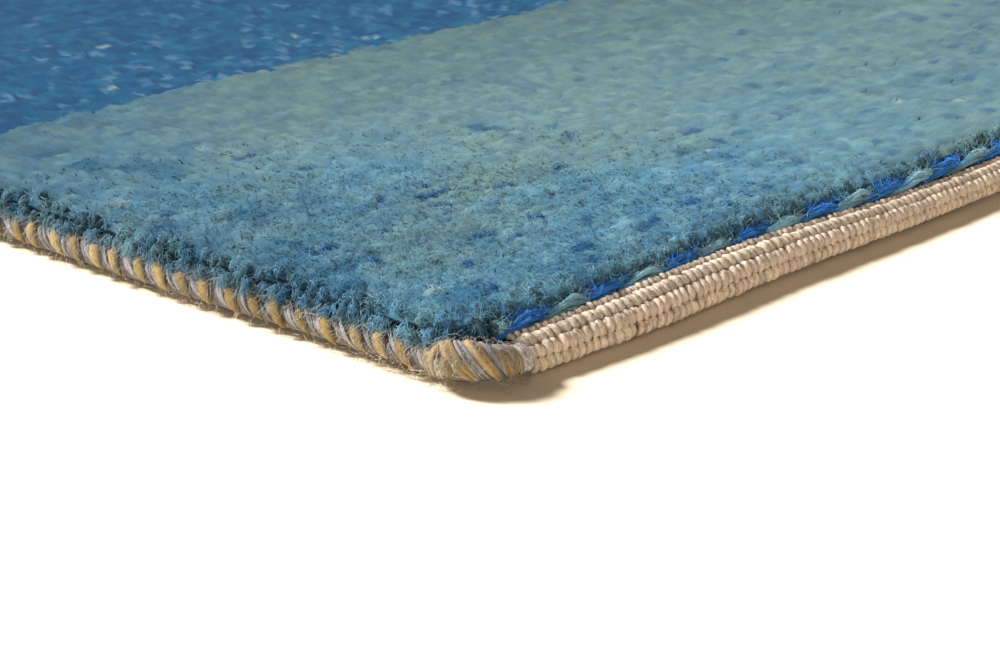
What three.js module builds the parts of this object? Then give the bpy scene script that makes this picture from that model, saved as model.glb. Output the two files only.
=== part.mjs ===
// A small hand-knotted gabbeh rug, lying flat: a thick wool pile on its woven foundation, two overcast
// side cords that turn the corners, and at each end a wrapped wool band behind a row of two-colour
// twining. Millimetres, +Z up. The origin is on the floor under the middle of the rug, the rug's
// length runs along Y and its ends along X.
import * as THREE from "three";

// Driving dimensions
const RUG_WIDTH = 600;
const RUG_LENGTH = 900;
const CORNER_RADIUS = 14;
const PILE_TOP = 12.6;
const SEAM = 0.3; // the gap between pieces that touch
const HALF_WIDTH = RUG_WIDTH / 2;
const HALF_LENGTH = RUG_LENGTH / 2;

// The four edges wander, because the rug is beaten by hand. Each one swings inwards from the nominal
// line and back, in two waves along its length.
const EDGE_WANDER = {
  left: { swing: 0.5, wave: 410, shift: 1.3, ripple: 0.25, rippleWave: 97 },
  right: { swing: 0.8, wave: 350, shift: 0.2, ripple: 0.3, rippleWave: 113 },
  front: { swing: 0.85, wave: 236, shift: 4.3, ripple: 0.5, rippleWave: 91 },
  back: { swing: 0.9, wave: 277, shift: 0.7, ripple: 0.3, rippleWave: 91 },
};

// The ends don't lie quite flat: the stiff wrapped band stands off the floor here and there.
const END_LIFT = { height: 1.0, reach: 34, wave: 230, shift: 5.7 };

// Knotted pile and its foundation
const PILE = {
  cellsAcross: 26,
  cellsAlong: 30,
  rimLines: [0, 4, 9, 18], // the outermost grid lines, in from the edge
  swell: 0.35, // how far the clipped surface rises and falls
  swellWaveX: 140,
  swellWaveY: 175,
};
// From the floor up: the height of each ring of the rim, and how far it stands in from the rug's sides
// and ends. The ledge at the ends is the bare foundation that the twining lies on. Above the side
// cords, the outermost knots lean out and hide nearly all of the cord from above.
const PILE_RIM = [
  { z: 0, side: 8.2, end: 9.3 },
  { z: 2.8, side: 8.2, end: 9.4 },
  { z: 2.9, side: 8.2, end: 12.2 },
  { z: 8.3, side: 8.2, end: 12.2 },
  { z: 8.5, side: 3.6, end: 11.2 },
  { z: 10.2, side: 2.2, end: 10.8 },
  { z: 11.7, side: 3.4, end: 12.0 },
  { z: 12.4, side: 7.2, end: 14.6 },
];
const PILE_CORNER_RADIUS = 10;

// Overcast side cord: one rib for each pair of wraps, a proud one and a sunk one
const CORD = {
  width: 7.8,
  height: 6.8,
  cornerSwell: 1.2, // half of what the wraps add to its width at a corner
  cornerRise: 1.2, // what they add to its height there
  endReach: 16, // where the wrapping stops along the rug's end
  sides: 6,
  ribPitch: 7.2,
  ribDepth: 0.3,
};

// Wrapped end band, from the rug's end inwards and from the floor up. Three rows show as ridges. It is
// plump in places and thinner in others, by this share of its size.
const BAND = { stepsAlong: 40, thinning: 0.23, wave: 196, shift: 2.64 };
const BAND_SECTION = [
  { in: 1.6, z: 0.0 },
  { in: 8.7, z: 0.0 },
  { in: 8.9, z: 5.9 },
  { in: 7.7, z: 7.1 },
  { in: 6.5, z: 6.7 },
  { in: 4.9, z: 7.7 },
  { in: 3.2, z: 6.6 },
  { in: 1.6, z: 5.8 },
  { in: 1.0, z: 4.0 },
  { in: 0.0, z: 2.2 },
];

// Twined row: two yarns that turn round each other, a stitch at a time
const TWINING = {
  fromEnd: 10.55,
  height: 5.4, // of its centre over the floor
  width: 2.3,
  thickness: 4.6,
  fromSide: 14.6, // where the row starts, in from the rug's side
  sides: 6,
  stitch: 13,
  waist: 0.78, // its thickness between two stitches
};

// How far an edge point lies inside the nominal line, at this distance along the edge
function wander(edge, along) {
  const slow = 1 - Math.sin((2 * Math.PI * along) / edge.wave + edge.shift);
  const quick = 1 - Math.sin((2 * Math.PI * along) / edge.rippleWave);
  return edge.swing * slow + edge.ripple * quick;
}

// How far a point at this place is lifted off the floor near an end
function lift(x, y) {
  const fromEnd = HALF_LENGTH - Math.abs(y);
  const near = Math.max(0, 1 - fromEnd / END_LIFT.reach);
  const wave = (2 * Math.PI * x) / END_LIFT.wave + END_LIFT.shift * Math.sign(y);
  return END_LIFT.height * near * near * (0.5 - 0.5 * Math.cos(wave));
}

// Moves a point of the straight, nominal rug to where it lies on the real one
function lieAsMade(point) {
  const { x, y } = point;
  const right = (x + HALF_WIDTH) / RUG_WIDTH;
  const back = (y + HALF_LENGTH) / RUG_LENGTH;
  const left = wander(EDGE_WANDER.left, y) * (1 - right);
  const front = wander(EDGE_WANDER.front, x) * (1 - back);
  point.x = x + left - wander(EDGE_WANDER.right, y) * right;
  point.y = y + front - wander(EDGE_WANDER.back, x) * back;
  point.z += lift(x, y);
  return point;
}

// Gives every vertex of a geometry a new place
function reshape(geometry, place) {
  const position = geometry.getAttribute("position");
  const point = new THREE.Vector3();
  for (let i = 0; i < position.count; i += 1) {
    point.fromBufferAttribute(position, i);
    place(point);
    position.setXYZ(i, point.x, point.y, point.z);
  }
  geometry.computeVertexNormals();
  return geometry;
}

// Draws a point in the square corner of a rectangle onto a rounded corner
function roundCorner(x, y, halfX, halfY, radius) {
  const a = Math.max(0, (Math.abs(x) - halfX) / radius + 1);
  const b = Math.max(0, (Math.abs(y) - halfY) / radius + 1);
  if (a === 0 || b === 0) return [x, y];
  const roundA = a * Math.sqrt(1 - (b * b) / 2);
  const roundB = b * Math.sqrt(1 - (a * a) / 2);
  return [
    Math.sign(x) * (halfX - radius + radius * roundA),
    Math.sign(y) * (halfY - radius + radius * roundB),
  ];
}

// Spreads even shares from -1 to 1 over a width, with the outermost grid lines close to the edge
function gridLine(share, cells, half) {
  const rim = PILE.rimLines;
  const index = Math.round(((share + 1) / 2) * cells);
  const fromEdge = Math.min(index, cells - index);
  const side = index * 2 < cells ? -1 : 1;
  if (fromEdge < rim.length) return side * (half - rim[fromEdge]);
  const last = rim.length - 1;
  const inner = half - rim[last];
  return inner * (((index - last) / (cells - 2 * last)) * 2 - 1);
}

function pileField() {
  const { cellsAcross, cellsAlong } = PILE;
  const levels = PILE_RIM.length - 1;
  const block = new THREE.BoxGeometry(2, 2, levels, cellsAcross, cellsAlong, levels);
  return reshape(block, (point) => {
    const level = Math.round(point.z + levels / 2);
    const rim = PILE_RIM[level];
    const halfX = HALF_WIDTH - rim.side;
    const halfY = HALF_LENGTH - rim.end;
    const onRim = Math.max(Math.abs(point.x), Math.abs(point.y)) > 1 - 1e-6;
    const x = gridLine(point.x, cellsAcross, halfX);
    const y = gridLine(point.y, cellsAlong, halfY);
    const [roundX, roundY] = roundCorner(x, y, halfX, halfY, PILE_CORNER_RADIUS);
    const swellX = Math.sin((2 * Math.PI * x) / PILE.swellWaveX);
    const swellY = Math.sin((2 * Math.PI * y) / PILE.swellWaveY);
    const inside = level === levels && !onRim;
    point.set(roundX, roundY, inside ? PILE_TOP + PILE.swell * swellX * swellY : rim.z);
    lieAsMade(point);
  });
}

// Where the middle of the side cord runs: from one end of the rug, round the corner, along the side,
// and round the other corner. Gives the place, the outward direction, and the cord's bulk.
function cordPath(along, side) {
  const straightEnd = CORD.endReach - CORNER_RADIUS;
  const quarter = (Math.PI / 2) * CORNER_RADIUS;
  const straightSide = RUG_LENGTH - 2 * CORNER_RADIUS;
  const half = straightSide / 2 + quarter + straightEnd;
  const fromMiddle = Math.abs(along - half);
  const pastStraight = Math.max(0, fromMiddle - straightSide / 2);
  const turn = Math.min(pastStraight, quarter) / CORNER_RADIUS;
  const pastTurn = Math.max(0, pastStraight - quarter);
  const end = Math.sign(along - half);
  const bulk = Math.sin(2 * turn);
  const halfWidth = CORD.width / 2 + CORD.cornerSwell * bulk;
  const reach = CORNER_RADIUS - halfWidth;
  const outX = Math.cos(turn);
  const outY = Math.sin(turn) * end;
  const straightY = Math.min(fromMiddle, straightSide / 2) * end;
  return {
    x: side * (HALF_WIDTH - CORNER_RADIUS + reach * outX - pastTurn),
    y: straightY + reach * outY,
    outX: side * outX,
    outY,
    halfWidth,
    height: CORD.height + CORD.cornerRise * bulk,
  };
}

function cordLength() {
  const quarter = (Math.PI / 2) * CORNER_RADIUS;
  return RUG_LENGTH - 2 * CORNER_RADIUS + 2 * (quarter + CORD.endReach - CORNER_RADIUS);
}

function sideCord(side) {
  const length = cordLength();
  const rings = 2 * Math.round(length / CORD.ribPitch);
  const tube = new THREE.CylinderGeometry(1, 1, length, CORD.sides, rings);
  // Turned so that one of its flat sides lies on the floor.
  tube.rotateY(Math.PI / CORD.sides + Math.PI / 2);
  const flat = Math.sin(Math.PI / 3);
  return reshape(tube, (point) => {
    const along = point.y + length / 2;
    const ring = Math.round((along / length) * rings);
    const path = cordPath(along, side);
    const sunk = ring % 2 === 1 ? CORD.ribDepth : 0;
    const outwards = side * point.x * (path.halfWidth - sunk);
    const up = (point.z / flat) * (path.height / 2);
    const onTop = up > 0 ? sunk : 0;
    const height = path.height / 2 + up - onTop;
    point.set(path.x + path.outX * outwards, path.y + path.outY * outwards, height);
    lieAsMade(point);
  });
}

// end is -1 at the front and 1 at the back
function endBand(end) {
  const shape = new THREE.Shape(BAND_SECTION.map((row) => new THREE.Vector2(row.in, row.z)));
  const length = RUG_WIDTH - 2 * (CORD.endReach + SEAM);
  const bar = new THREE.ExtrudeGeometry(shape, {
    depth: length,
    steps: BAND.stepsAlong,
    bevelEnabled: false,
  });
  const root = Math.max(...BAND_SECTION.map((row) => row.in));
  return reshape(bar, (point) => {
    const x = -end * (point.z - length / 2);
    const thin = 0.5 - 0.5 * Math.sin((2 * Math.PI * x) / BAND.wave + BAND.shift);
    const size = 1 - BAND.thinning * thin;
    const inwards = root - (root - point.x) * size;
    point.set(x, end * (HALF_LENGTH - inwards), point.y * size);
    lieAsMade(point);
  });
}

function twinedRow(end) {
  const length = RUG_WIDTH - 2 * TWINING.fromSide;
  const stitches = Math.round(length / TWINING.stitch);
  const rings = 2 * stitches;
  const tube = new THREE.CylinderGeometry(1, 1, length, TWINING.sides, rings);
  tube.rotateZ(-Math.PI / 2);
  return reshape(tube, (point) => {
    const ring = Math.round((point.x / length + 0.5) * rings);
    const full = ring % 2 === 1 ? 1 : TWINING.waist;
    const inwards = TWINING.fromEnd + point.y * (TWINING.width / 2) * full;
    const height = TWINING.height + point.z * (TWINING.thickness / 2) * full;
    point.set(-end * point.x, end * (HALF_LENGTH - inwards), height);
    lieAsMade(point);
  });
}

function wool(color, roughness) {
  return new THREE.MeshStandardMaterial({ color, roughness, metalness: 0 });
}

function piece(name, geometry, material) {
  const mesh = new THREE.Mesh(geometry, material);
  mesh.name = name;
  return mesh;
}

const rug = new THREE.Group();
rug.add(piece("pile_field", pileField(), wool(0x5f8c98, 0.95)));
for (const [place, side] of [["left", -1], ["right", 1]]) {
  rug.add(piece(`side_cord_${place}`, sideCord(side), wool(0xa88f62, 0.9)));
}
for (const [place, end] of [["front", -1], ["back", 1]]) {
  rug.add(piece(`end_band_${place}`, endBand(end), wool(0xc4ae8e, 0.9)));
  rug.add(piece(`twined_row_${place}`, twinedRow(end), wool(0x3f7fae, 0.9)));
}

export default rug;
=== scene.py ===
# %% [markdown]
# # A hand-knotted gabbeh rug
# A gabbeh is a thick wool rug. Warps and wefts make a stiff foundation cloth, and a knot of dyed wool
# is tied round every two warps and clipped, so the surface is tens of thousands of small brushes. The
# sides are overcast with yarn, and the ends are closed with wrapped bands. Here each of these is
# modelled as the thing it is: a cloth, a bed of clipped pile, loose fibres on it, and lengths of yarn.
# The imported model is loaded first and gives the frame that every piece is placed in.

# %% The frame
import math
import bpy
import numpy as np
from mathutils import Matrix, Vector


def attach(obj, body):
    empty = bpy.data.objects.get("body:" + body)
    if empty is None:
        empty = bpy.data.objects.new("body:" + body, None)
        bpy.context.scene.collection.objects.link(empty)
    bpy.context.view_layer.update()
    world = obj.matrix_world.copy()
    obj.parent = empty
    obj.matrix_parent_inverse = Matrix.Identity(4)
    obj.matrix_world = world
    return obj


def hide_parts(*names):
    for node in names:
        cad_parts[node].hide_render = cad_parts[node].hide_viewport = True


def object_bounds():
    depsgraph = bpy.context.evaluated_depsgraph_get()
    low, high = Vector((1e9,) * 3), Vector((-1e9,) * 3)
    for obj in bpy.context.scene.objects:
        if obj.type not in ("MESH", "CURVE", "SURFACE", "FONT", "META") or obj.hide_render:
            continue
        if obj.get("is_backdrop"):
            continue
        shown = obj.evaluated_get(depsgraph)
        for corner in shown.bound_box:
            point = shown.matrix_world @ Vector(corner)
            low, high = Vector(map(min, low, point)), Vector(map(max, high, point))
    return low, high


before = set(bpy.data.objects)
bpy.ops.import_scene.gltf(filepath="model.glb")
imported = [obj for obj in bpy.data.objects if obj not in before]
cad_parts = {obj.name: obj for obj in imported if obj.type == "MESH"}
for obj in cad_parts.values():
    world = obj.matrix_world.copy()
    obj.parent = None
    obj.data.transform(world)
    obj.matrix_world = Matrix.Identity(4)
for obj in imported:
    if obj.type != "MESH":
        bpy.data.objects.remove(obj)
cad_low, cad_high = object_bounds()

print("the model's box in metres:", [round(v, 4) for v in (*cad_low, *cad_high)])

# %% [markdown]
# ## Sizes
# Everything is worked out in millimetres, because yarn and knots are that small, and is turned into
# metres when a mesh is made. The rug's middle is the origin, its length runs along Y, and the corner
# that faces the camera is at the lowest X and Y.

# %% Sizes of the rug
MM = 0.001
RUG_WIDTH = 600.0
RUG_LENGTH = 900.0
HALF_WIDTH = RUG_WIDTH / 2
HALF_LENGTH = RUG_LENGTH / 2
CORNER = np.array([-HALF_WIDTH, -HALF_LENGTH, 0.0])
KNOT_ACROSS = 3.3
KNOT_ALONG = 3.5
PILE_TOP = 12.5
chance = np.random.default_rng(20)
print("the rug:", RUG_WIDTH, "by", RUG_LENGTH, "mm, and", PILE_TOP, "mm thick")

# %% [markdown]
# ## The camera
# The camera comes first, because the fibres are made finest where it sees them largest. It looks at
# the rug's corner from low down with a long lens. Its place is worked out from where the corner falls
# in the picture, how far away it is, and the two angles of the view.

# %% The camera
PICTURE = (1000, 666)
LENS = 98.4
SENSOR = 36.0
CORNER_AT = (486.3, 405.9)
CORNER_AWAY = 503.1
LOOK_DOWN = math.radians(19.32)
HEADING = math.radians(42.22)

focus = PICTURE[0] * LENS / SENSOR
forward = np.array([math.cos(HEADING), math.sin(HEADING), 0.0]) * math.cos(LOOK_DOWN)
forward[2] = -math.sin(LOOK_DOWN)
rightward = np.array([math.sin(HEADING), -math.cos(HEADING), 0.0])
upward = np.cross(rightward, forward)
across = (CORNER_AT[0] - PICTURE[0] / 2) / focus
down = (CORNER_AT[1] - PICTURE[1] / 2) / focus
camera_place = CORNER - CORNER_AWAY * (forward + rightward * across - upward * down)

bpy.ops.object.camera_add(location=camera_place * MM)
camera = bpy.context.object
camera.rotation_euler = Vector(forward).to_track_quat("-Z", "Y").to_euler()
camera.data.lens = LENS
camera.data.sensor_width = SENSOR
camera.data.clip_start = 0.01
bpy.context.scene.camera = camera


def in_picture(points, margin=30):
    """Which points, in millimetres, the camera sees, with a margin in pixels."""
    away = points - camera_place
    depth = away @ forward
    x = PICTURE[0] / 2 + focus * (away @ rightward) / depth
    y = PICTURE[1] / 2 - focus * (away @ upward) / depth
    inside_x = (x > -margin) & (x < PICTURE[0] + margin)
    inside_y = (y > -margin) & (y < PICTURE[1] + margin)
    return inside_x & inside_y & (depth > 0)


print("camera at", [round(v) for v in camera_place], "mm")

# %% [markdown]
# ## Nothing is quite straight
# A rug beaten and knotted by hand has edges that wander by a millimetre or two, and its stiff ends
# stand off the floor here and there. The construction has both, as smooth formulas of the place, so
# every point made below goes through the same formulas and lands where the solids are.

# %% How the rug lies
EDGE_WANDER = {
    "left": dict(swing=0.5, wave=410, shift=1.3, ripple=0.25, ripple_wave=97),
    "right": dict(swing=0.8, wave=350, shift=0.2, ripple=0.3, ripple_wave=113),
    "front": dict(swing=0.85, wave=236, shift=4.3, ripple=0.5, ripple_wave=91),
    "back": dict(swing=0.9, wave=277, shift=0.7, ripple=0.3, ripple_wave=91),
}
END_LIFT = dict(height=1.0, reach=34, wave=230, shift=5.7)


def wander(edge, along):
    """How far an edge lies inside its nominal line."""
    e = EDGE_WANDER[edge]
    slow = 1 - np.sin(2 * np.pi * along / e["wave"] + e["shift"])
    quick = 1 - np.sin(2 * np.pi * along / e["ripple_wave"])
    return e["swing"] * slow + e["ripple"] * quick


def lie_as_made(points):
    """Moves points of the straight rug to where they lie on the real one."""
    x, y, z = points[..., 0], points[..., 1], points[..., 2]
    right = (x + HALF_WIDTH) / RUG_WIDTH
    back = (y + HALF_LENGTH) / RUG_LENGTH
    near = np.maximum(0, 1 - (HALF_LENGTH - np.abs(y)) / END_LIFT["reach"])
    wave = 2 * np.pi * x / END_LIFT["wave"] + END_LIFT["shift"] * np.sign(y)
    laid = np.empty_like(points)
    laid[..., 0] = x + wander("left", y) * (1 - right) - wander("right", y) * right
    laid[..., 1] = y + wander("front", x) * (1 - back) - wander("back", x) * back
    laid[..., 2] = z + END_LIFT["height"] * near**2 * (0.5 - 0.5 * np.cos(wave))
    return laid


# %% [markdown]
# ## Tools for making meshes
# A mesh of many thousand points is filled from arrays, which takes no time at all. Colours that
# change from knot to knot or from yarn to yarn are kept on the points, in a colour attribute, which
# also carries the shade and highlights painted into the pile. A second attribute, yarn, holds a place
# inside the yarn, so that a pattern can run along its twist.

# %% Colours and noise
def linear(hex_colour):
    """The linear colour of an sRGB hex value."""
    value = np.array([int(hex_colour[i : i + 2], 16) / 255 for i in (1, 3, 5)])
    return np.where(value <= 0.04045, value / 12.92, ((value + 0.055) / 1.055) ** 2.4)


def soft_noise(x, y, cell, seed):
    """Smooth random values from 0 to 1, that change over a distance of one cell."""
    table = np.random.default_rng(seed).random((64, 64))
    u, v = x / cell, y / cell
    i, j = np.floor(u).astype(int), np.floor(v).astype(int)
    u, v = u - i, v - j
    u, v = u * u * (3 - 2 * u), v * v * (3 - 2 * v)
    here, east = table[i % 64, j % 64], table[(i + 1) % 64, j % 64]
    north, corner = table[i % 64, (j + 1) % 64], table[(i + 1) % 64, (j + 1) % 64]
    return (here * (1 - u) + east * u) * (1 - v) + (north * (1 - u) + corner * u) * v


def ease(value, low, high):
    """0 below low, 1 above high, and a smooth step between."""
    t = np.clip((value - low) / (high - low), 0, 1)
    return t * t * (3 - 2 * t)


def blend(one, other, share):
    """Goes from one row of colours to another, by a share for each row."""
    return one + (other - one) * np.asarray(share)[..., None]


def unit(vectors):
    """The same directions, each of length 1."""
    return vectors / np.linalg.norm(vectors, axis=-1, keepdims=True)


# %% Meshes from arrays
def make_piece(name, points, faces, uv, dye_and_painted_light=None, yarn=None, facing=None):
    """A mesh object: points in millimetres, faces of three or four points, and values on the points."""
    mesh = bpy.data.meshes.new(name)
    mesh.vertices.add(len(points))
    mesh.vertices.foreach_set("co", (points * MM).astype(np.float32).ravel())
    mesh.loops.add(faces.size)
    mesh.loops.foreach_set("vertex_index", faces.astype(np.int32).ravel())
    mesh.polygons.add(len(faces))
    starts = np.arange(0, faces.size, faces.shape[1], dtype=np.int32)
    mesh.polygons.foreach_set("loop_start", starts)
    mesh.polygons.foreach_set("loop_total", np.full(len(faces), faces.shape[1], dtype=np.int32))
    mesh.update(calc_edges=True)
    mesh.polygons.foreach_set("use_smooth", np.ones(len(faces), dtype=bool))
    uv_layer = mesh.uv_layers.new(name="OFBake")
    uv_layer.data.foreach_set("uv", uv[faces.ravel()].astype(np.float32).ravel())
    # The colour on the points: the dye, with painted shade and painted highlight where they are painted in.
    if dye_and_painted_light is not None:
        colours = np.ones((len(points), 4), dtype=np.float32)
        colours[:, :3] = dye_and_painted_light
        layer = mesh.color_attributes.new("dye_and_painted_light", "FLOAT_COLOR", "POINT")
        layer.data.foreach_set("color", colours.ravel())
    if yarn is not None:
        layer = mesh.attributes.new("yarn", "FLOAT_VECTOR", "POINT")
        layer.data.foreach_set("vector", yarn.astype(np.float32).ravel())
    if facing is not None:
        mesh.normals_split_custom_set_from_vertices(facing.astype(np.float32))
    piece = bpy.data.objects.new(name, mesh)
    bpy.context.scene.collection.objects.link(piece)
    print(f"{name}: {int(len(faces) * (faces.shape[1] - 2))} triangles")
    return piece


def grid_faces(wide, long, first=0):
    """The four-sided faces of a grid of points, seen from above."""
    index = np.arange(wide * long).reshape(long, wide) + first
    quads = (index[:-1, :-1], index[:-1, 1:], index[1:, 1:], index[1:, :-1])
    return np.stack(quads, -1).reshape(-1, 4)


def grid_rim(wide, long, first=0):
    """The points round the edge of a grid, anticlockwise seen from above."""
    index = np.arange(wide * long).reshape(long, wide) + first
    return np.concatenate([index[0, :-1], index[:-1, -1], index[-1, :0:-1], index[:0:-1, 0]])


def between(lower, upper):
    """A wall of four-sided faces between two rims with as many points each."""
    return np.stack([lower, np.roll(lower, -1), np.roll(upper, -1), upper], -1)


def rounded(x, y, half_x, half_y, radius):
    """Draws the points in the square corners of a rectangle onto round corners."""
    a = np.maximum(0, (np.abs(x) - half_x) / radius + 1)
    b = np.maximum(0, (np.abs(y) - half_y) / radius + 1)
    inside = (a > 0) & (b > 0)
    round_x = np.sign(x) * (half_x - radius + radius * a * np.sqrt(np.maximum(0, 1 - b * b / 2)))
    round_y = np.sign(y) * (half_y - radius + radius * b * np.sqrt(np.maximum(0, 1 - a * a / 2)))
    return np.where(inside, round_x, x), np.where(inside, round_y, y)


# %% [markdown]
# ## The knots
# The dyer's colours make this rug: a muddy teal ground that drifts between blue and green from row to
# row, darker where the wool took more dye, and single knots of navy and a few pale ones. A deep blue
# field, with lighter knots near its edges, lies between two bands of teal. Each knot gets a place, a
# height, a lean and a colour of its own here, and both the pile bed and the fibres are then made from
# the same knots.

# %% Where the knots are
SIDE_INSET = 7.2
END_INSET = 12.0
SIDE_RIM = 8.0
END_RIM = 6.0
SIDE_LEAN = 5.0
END_LEAN = 1.6
RIM_DROP = (0.2, 1.3)
KNOT_JITTER = 0.35
CLIPPED_BELOW = 0.35
CLIPPED_UNEVEN = 0.25
LEAN_FORWARD = -0.2
LEAN_SPREAD = 0.5
knots_wide = int((RUG_WIDTH - 2 * SIDE_INSET) / KNOT_ACROSS)
knots_long = int((RUG_LENGTH - 2 * END_INSET) / KNOT_ALONG)
column, row = np.meshgrid(np.arange(knots_wide), np.arange(knots_long))
column, row = column.ravel(), row.ravel()
knot_count = column.size
knot_x = (column + 0.5 - knots_wide / 2) * KNOT_ACROSS + chance.normal(0, KNOT_JITTER, knot_count)
knot_y = (row + 0.5 - knots_long / 2) * KNOT_ALONG + chance.normal(0, KNOT_JITTER, knot_count)
knot_top = PILE_TOP - CLIPPED_BELOW + chance.normal(0, CLIPPED_UNEVEN, knot_count)
lean_x = chance.normal(0, LEAN_SPREAD, knot_count)
lean_y = chance.normal(LEAN_FORWARD, LEAN_SPREAD, knot_count)

from_side = HALF_WIDTH - np.abs(knot_x)
from_end = HALF_LENGTH - np.abs(knot_y)
from_left = knot_x + HALF_WIDTH
from_corner = np.hypot(knot_x - CORNER[0], knot_y - CORNER[1])
side_rim = np.clip(1 - (from_side - SIDE_INSET) / SIDE_RIM, 0, 1)
end_rim = np.clip(1 - (from_end - END_INSET) / END_RIM, 0, 1)
lean_x += np.sign(knot_x) * SIDE_LEAN * side_rim
lean_y += np.sign(knot_y) * END_LEAN * end_rim
knot_top -= np.maximum(side_rim, end_rim) ** 2 * chance.uniform(*RIM_DROP, knot_count)
print("knots:", knots_wide, "across by", knots_long, "along, or", knot_count)

# %% The colours of the ground and of the blue field
TEAL_SHADES = ("#4d7b92", "#55849a", "#5d8899", "#48778f", "#658f9b", "#57838f")
SAGE_SHADES = ("#5f8285", "#678685", "#5d7e85", "#6b8a87", "#638484", "#597984")
BLUE_SHADES = ("#0a4e74", "#125577", "#07486f", "#185b7c", "#105172", "#08456d")
DEEP_BLUE = linear("#215c7e")
TEAL_BAND = 182.0


def shades(names):
    """One of the named colours for each knot, at random."""
    table = np.array([linear(name) for name in names])
    return table[chance.integers(0, len(names), knot_count)]


drift = soft_noise(knot_x, knot_y * 2.2, 60, 1) + soft_noise(knot_x, knot_y * 2, 23, 2) - 1
greener = ease(from_end + 60 * drift, 25, 95) * ease(from_left + 60 * drift, 10, 110)
greener = np.maximum(greener, 0.88 * ease(from_left + 40 * drift, 100, 200))
knot_dye = blend(shades(TEAL_SHADES), shades(SAGE_SHADES), greener)
edge_of_band = TEAL_BAND + 1.5 * np.sin(knot_x / 47) + chance.normal(0, 0.6, knot_count)
in_blue = from_end > edge_of_band
knot_dye = np.where(in_blue[:, None], shades(BLUE_SHADES), knot_dye)

pool = soft_noise(knot_x, knot_y * 1.5, 8.5, 3) * 0.6 + soft_noise(knot_x, knot_y, 27, 4) * 0.4
pooled = ease(pool, 0.56, 0.76) * (0.8 - 0.65 * ease(from_left, 15, 75)) * ~in_blue
knot_dye = blend(knot_dye, DEEP_BLUE, pooled)
row_tone = np.random.default_rng(5).normal(1, 0.04, knots_long)[row]
knot_dye *= (row_tone * chance.normal(1, 0.05, knot_count).clip(0.8, 1.25))[:, None]
print("deep blue knots:", int(in_blue.sum()))

# %% Single knots of other colours
NAVY = linear("#18507c")
PALE = linear("#9fb6b0")
LIGHT_BLUE = linear("#8db4cc")
NAVY_CHANCE = 0.034
NAVY_BESIDE_NAVY = 0.2
PALE_CHANCE = 0.002
DEPTH_OF_DYE = 0.85
NAVY_THINNER = 0.5
LIGHT_THINNER = 0.55

speck = chance.random(knot_count) < NAVY_CHANCE * (1 - 0.7 * ease(from_end, 45, 130))
speck = (speck | (np.roll(speck, 1) & (chance.random(knot_count) < NAVY_BESIDE_NAVY))) & ~in_blue
navy_share = 1 - 0.5 * ease(from_corner, 60, 200)
knot_dye[speck] = blend(knot_dye, NAVY, navy_share)[speck]
crowd = ease(soft_noise(knot_x, knot_y, 30, 12), 0.3, 0.7) * (1 - ease(from_end, TEAL_BAND, TEAL_BAND + 130))
light_speck = in_blue & ((column + row) % 2 == 0) & (chance.random(knot_count) < 0.05 + 0.42 * crowd)
lighter = blend(knot_dye, LIGHT_BLUE, chance.uniform(0.04, 0.28, knot_count))
knot_dye[light_speck] = lighter[light_speck]
pale_speck = (chance.random(knot_count) < PALE_CHANCE) & ~speck
knot_dye[pale_speck] = (knot_dye[pale_speck] + PALE) / 2
left_shade = 0.16 * (1 - ease(from_left, 20, 80)) * ease(from_end, 25, 80)
stripe_shade = 0.23 * ease(from_end, 95, 175) * ~in_blue
knot_dye *= (DEPTH_OF_DYE * (1 - left_shade) * (1 - stripe_shade))[:, None]
thinner = np.where(speck, NAVY_THINNER, 0) + np.where(light_speck | pale_speck, LIGHT_THINNER, 0)
print("navy knots:", int(speck.sum()), "and pale knots:", int(pale_speck.sum()))

# %% [markdown]
# ## The foundation cloth
# The warps and wefts make a flat, stiff cloth about 3 mm thick. It shows from below, where each knot's
# back is a small bead, and as a bare ledge under the twining at the two ends. It is a plain slab in
# shape, made as two grids joined round their rims, with closer rows at the ends, which bend upwards.

# %% A slab between two grids
CLOTH_TOP = 2.85
CLOTH_SIDE = HALF_WIDTH - 8.2
CLOTH_END = HALF_LENGTH - 9.4
CLOTH_ROUND = 10
TILE = 0.46
ROWS_AT_END = np.array([0, 1.5, 4, 8, 13, 19, 26, 34])
MIDDLE_FROM = 44

cloth_x = np.linspace(-CLOTH_SIDE, CLOTH_SIDE, 41)
middle = np.linspace(MIDDLE_FROM, 2 * CLOTH_END - MIDDLE_FROM, 40)
cloth_y = np.concatenate([ROWS_AT_END, middle, (2 * CLOTH_END - ROWS_AT_END)[::-1]]) - CLOTH_END
gx, gy = np.meshgrid(cloth_x, cloth_y)
rx, ry = rounded(gx.ravel(), gy.ravel(), CLOTH_SIDE, CLOTH_END, CLOTH_ROUND)
top = np.stack([rx, ry, np.full(rx.size, CLOTH_TOP)], -1)
wide, long = len(cloth_x), len(cloth_y)
cloth_points = lie_as_made(np.concatenate([top * (1, 1, 0), top]))
cloth_faces = np.concatenate([
    grid_faces(wide, long, rx.size),
    grid_faces(wide, long)[:, ::-1],
    between(grid_rim(wide, long), grid_rim(wide, long, rx.size)),
])
flat_place = np.stack([rx / RUG_WIDTH + 0.5, ry / RUG_LENGTH + 0.5], -1) * TILE
under_place = (flat_place - TILE / 2) * 0.98 + TILE / 2
cloth_uv = np.concatenate([under_place + (0.5, 0.02), flat_place + 0.02])
cloth = make_piece("foundation_cloth", cloth_points, cloth_faces, cloth_uv)
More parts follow.
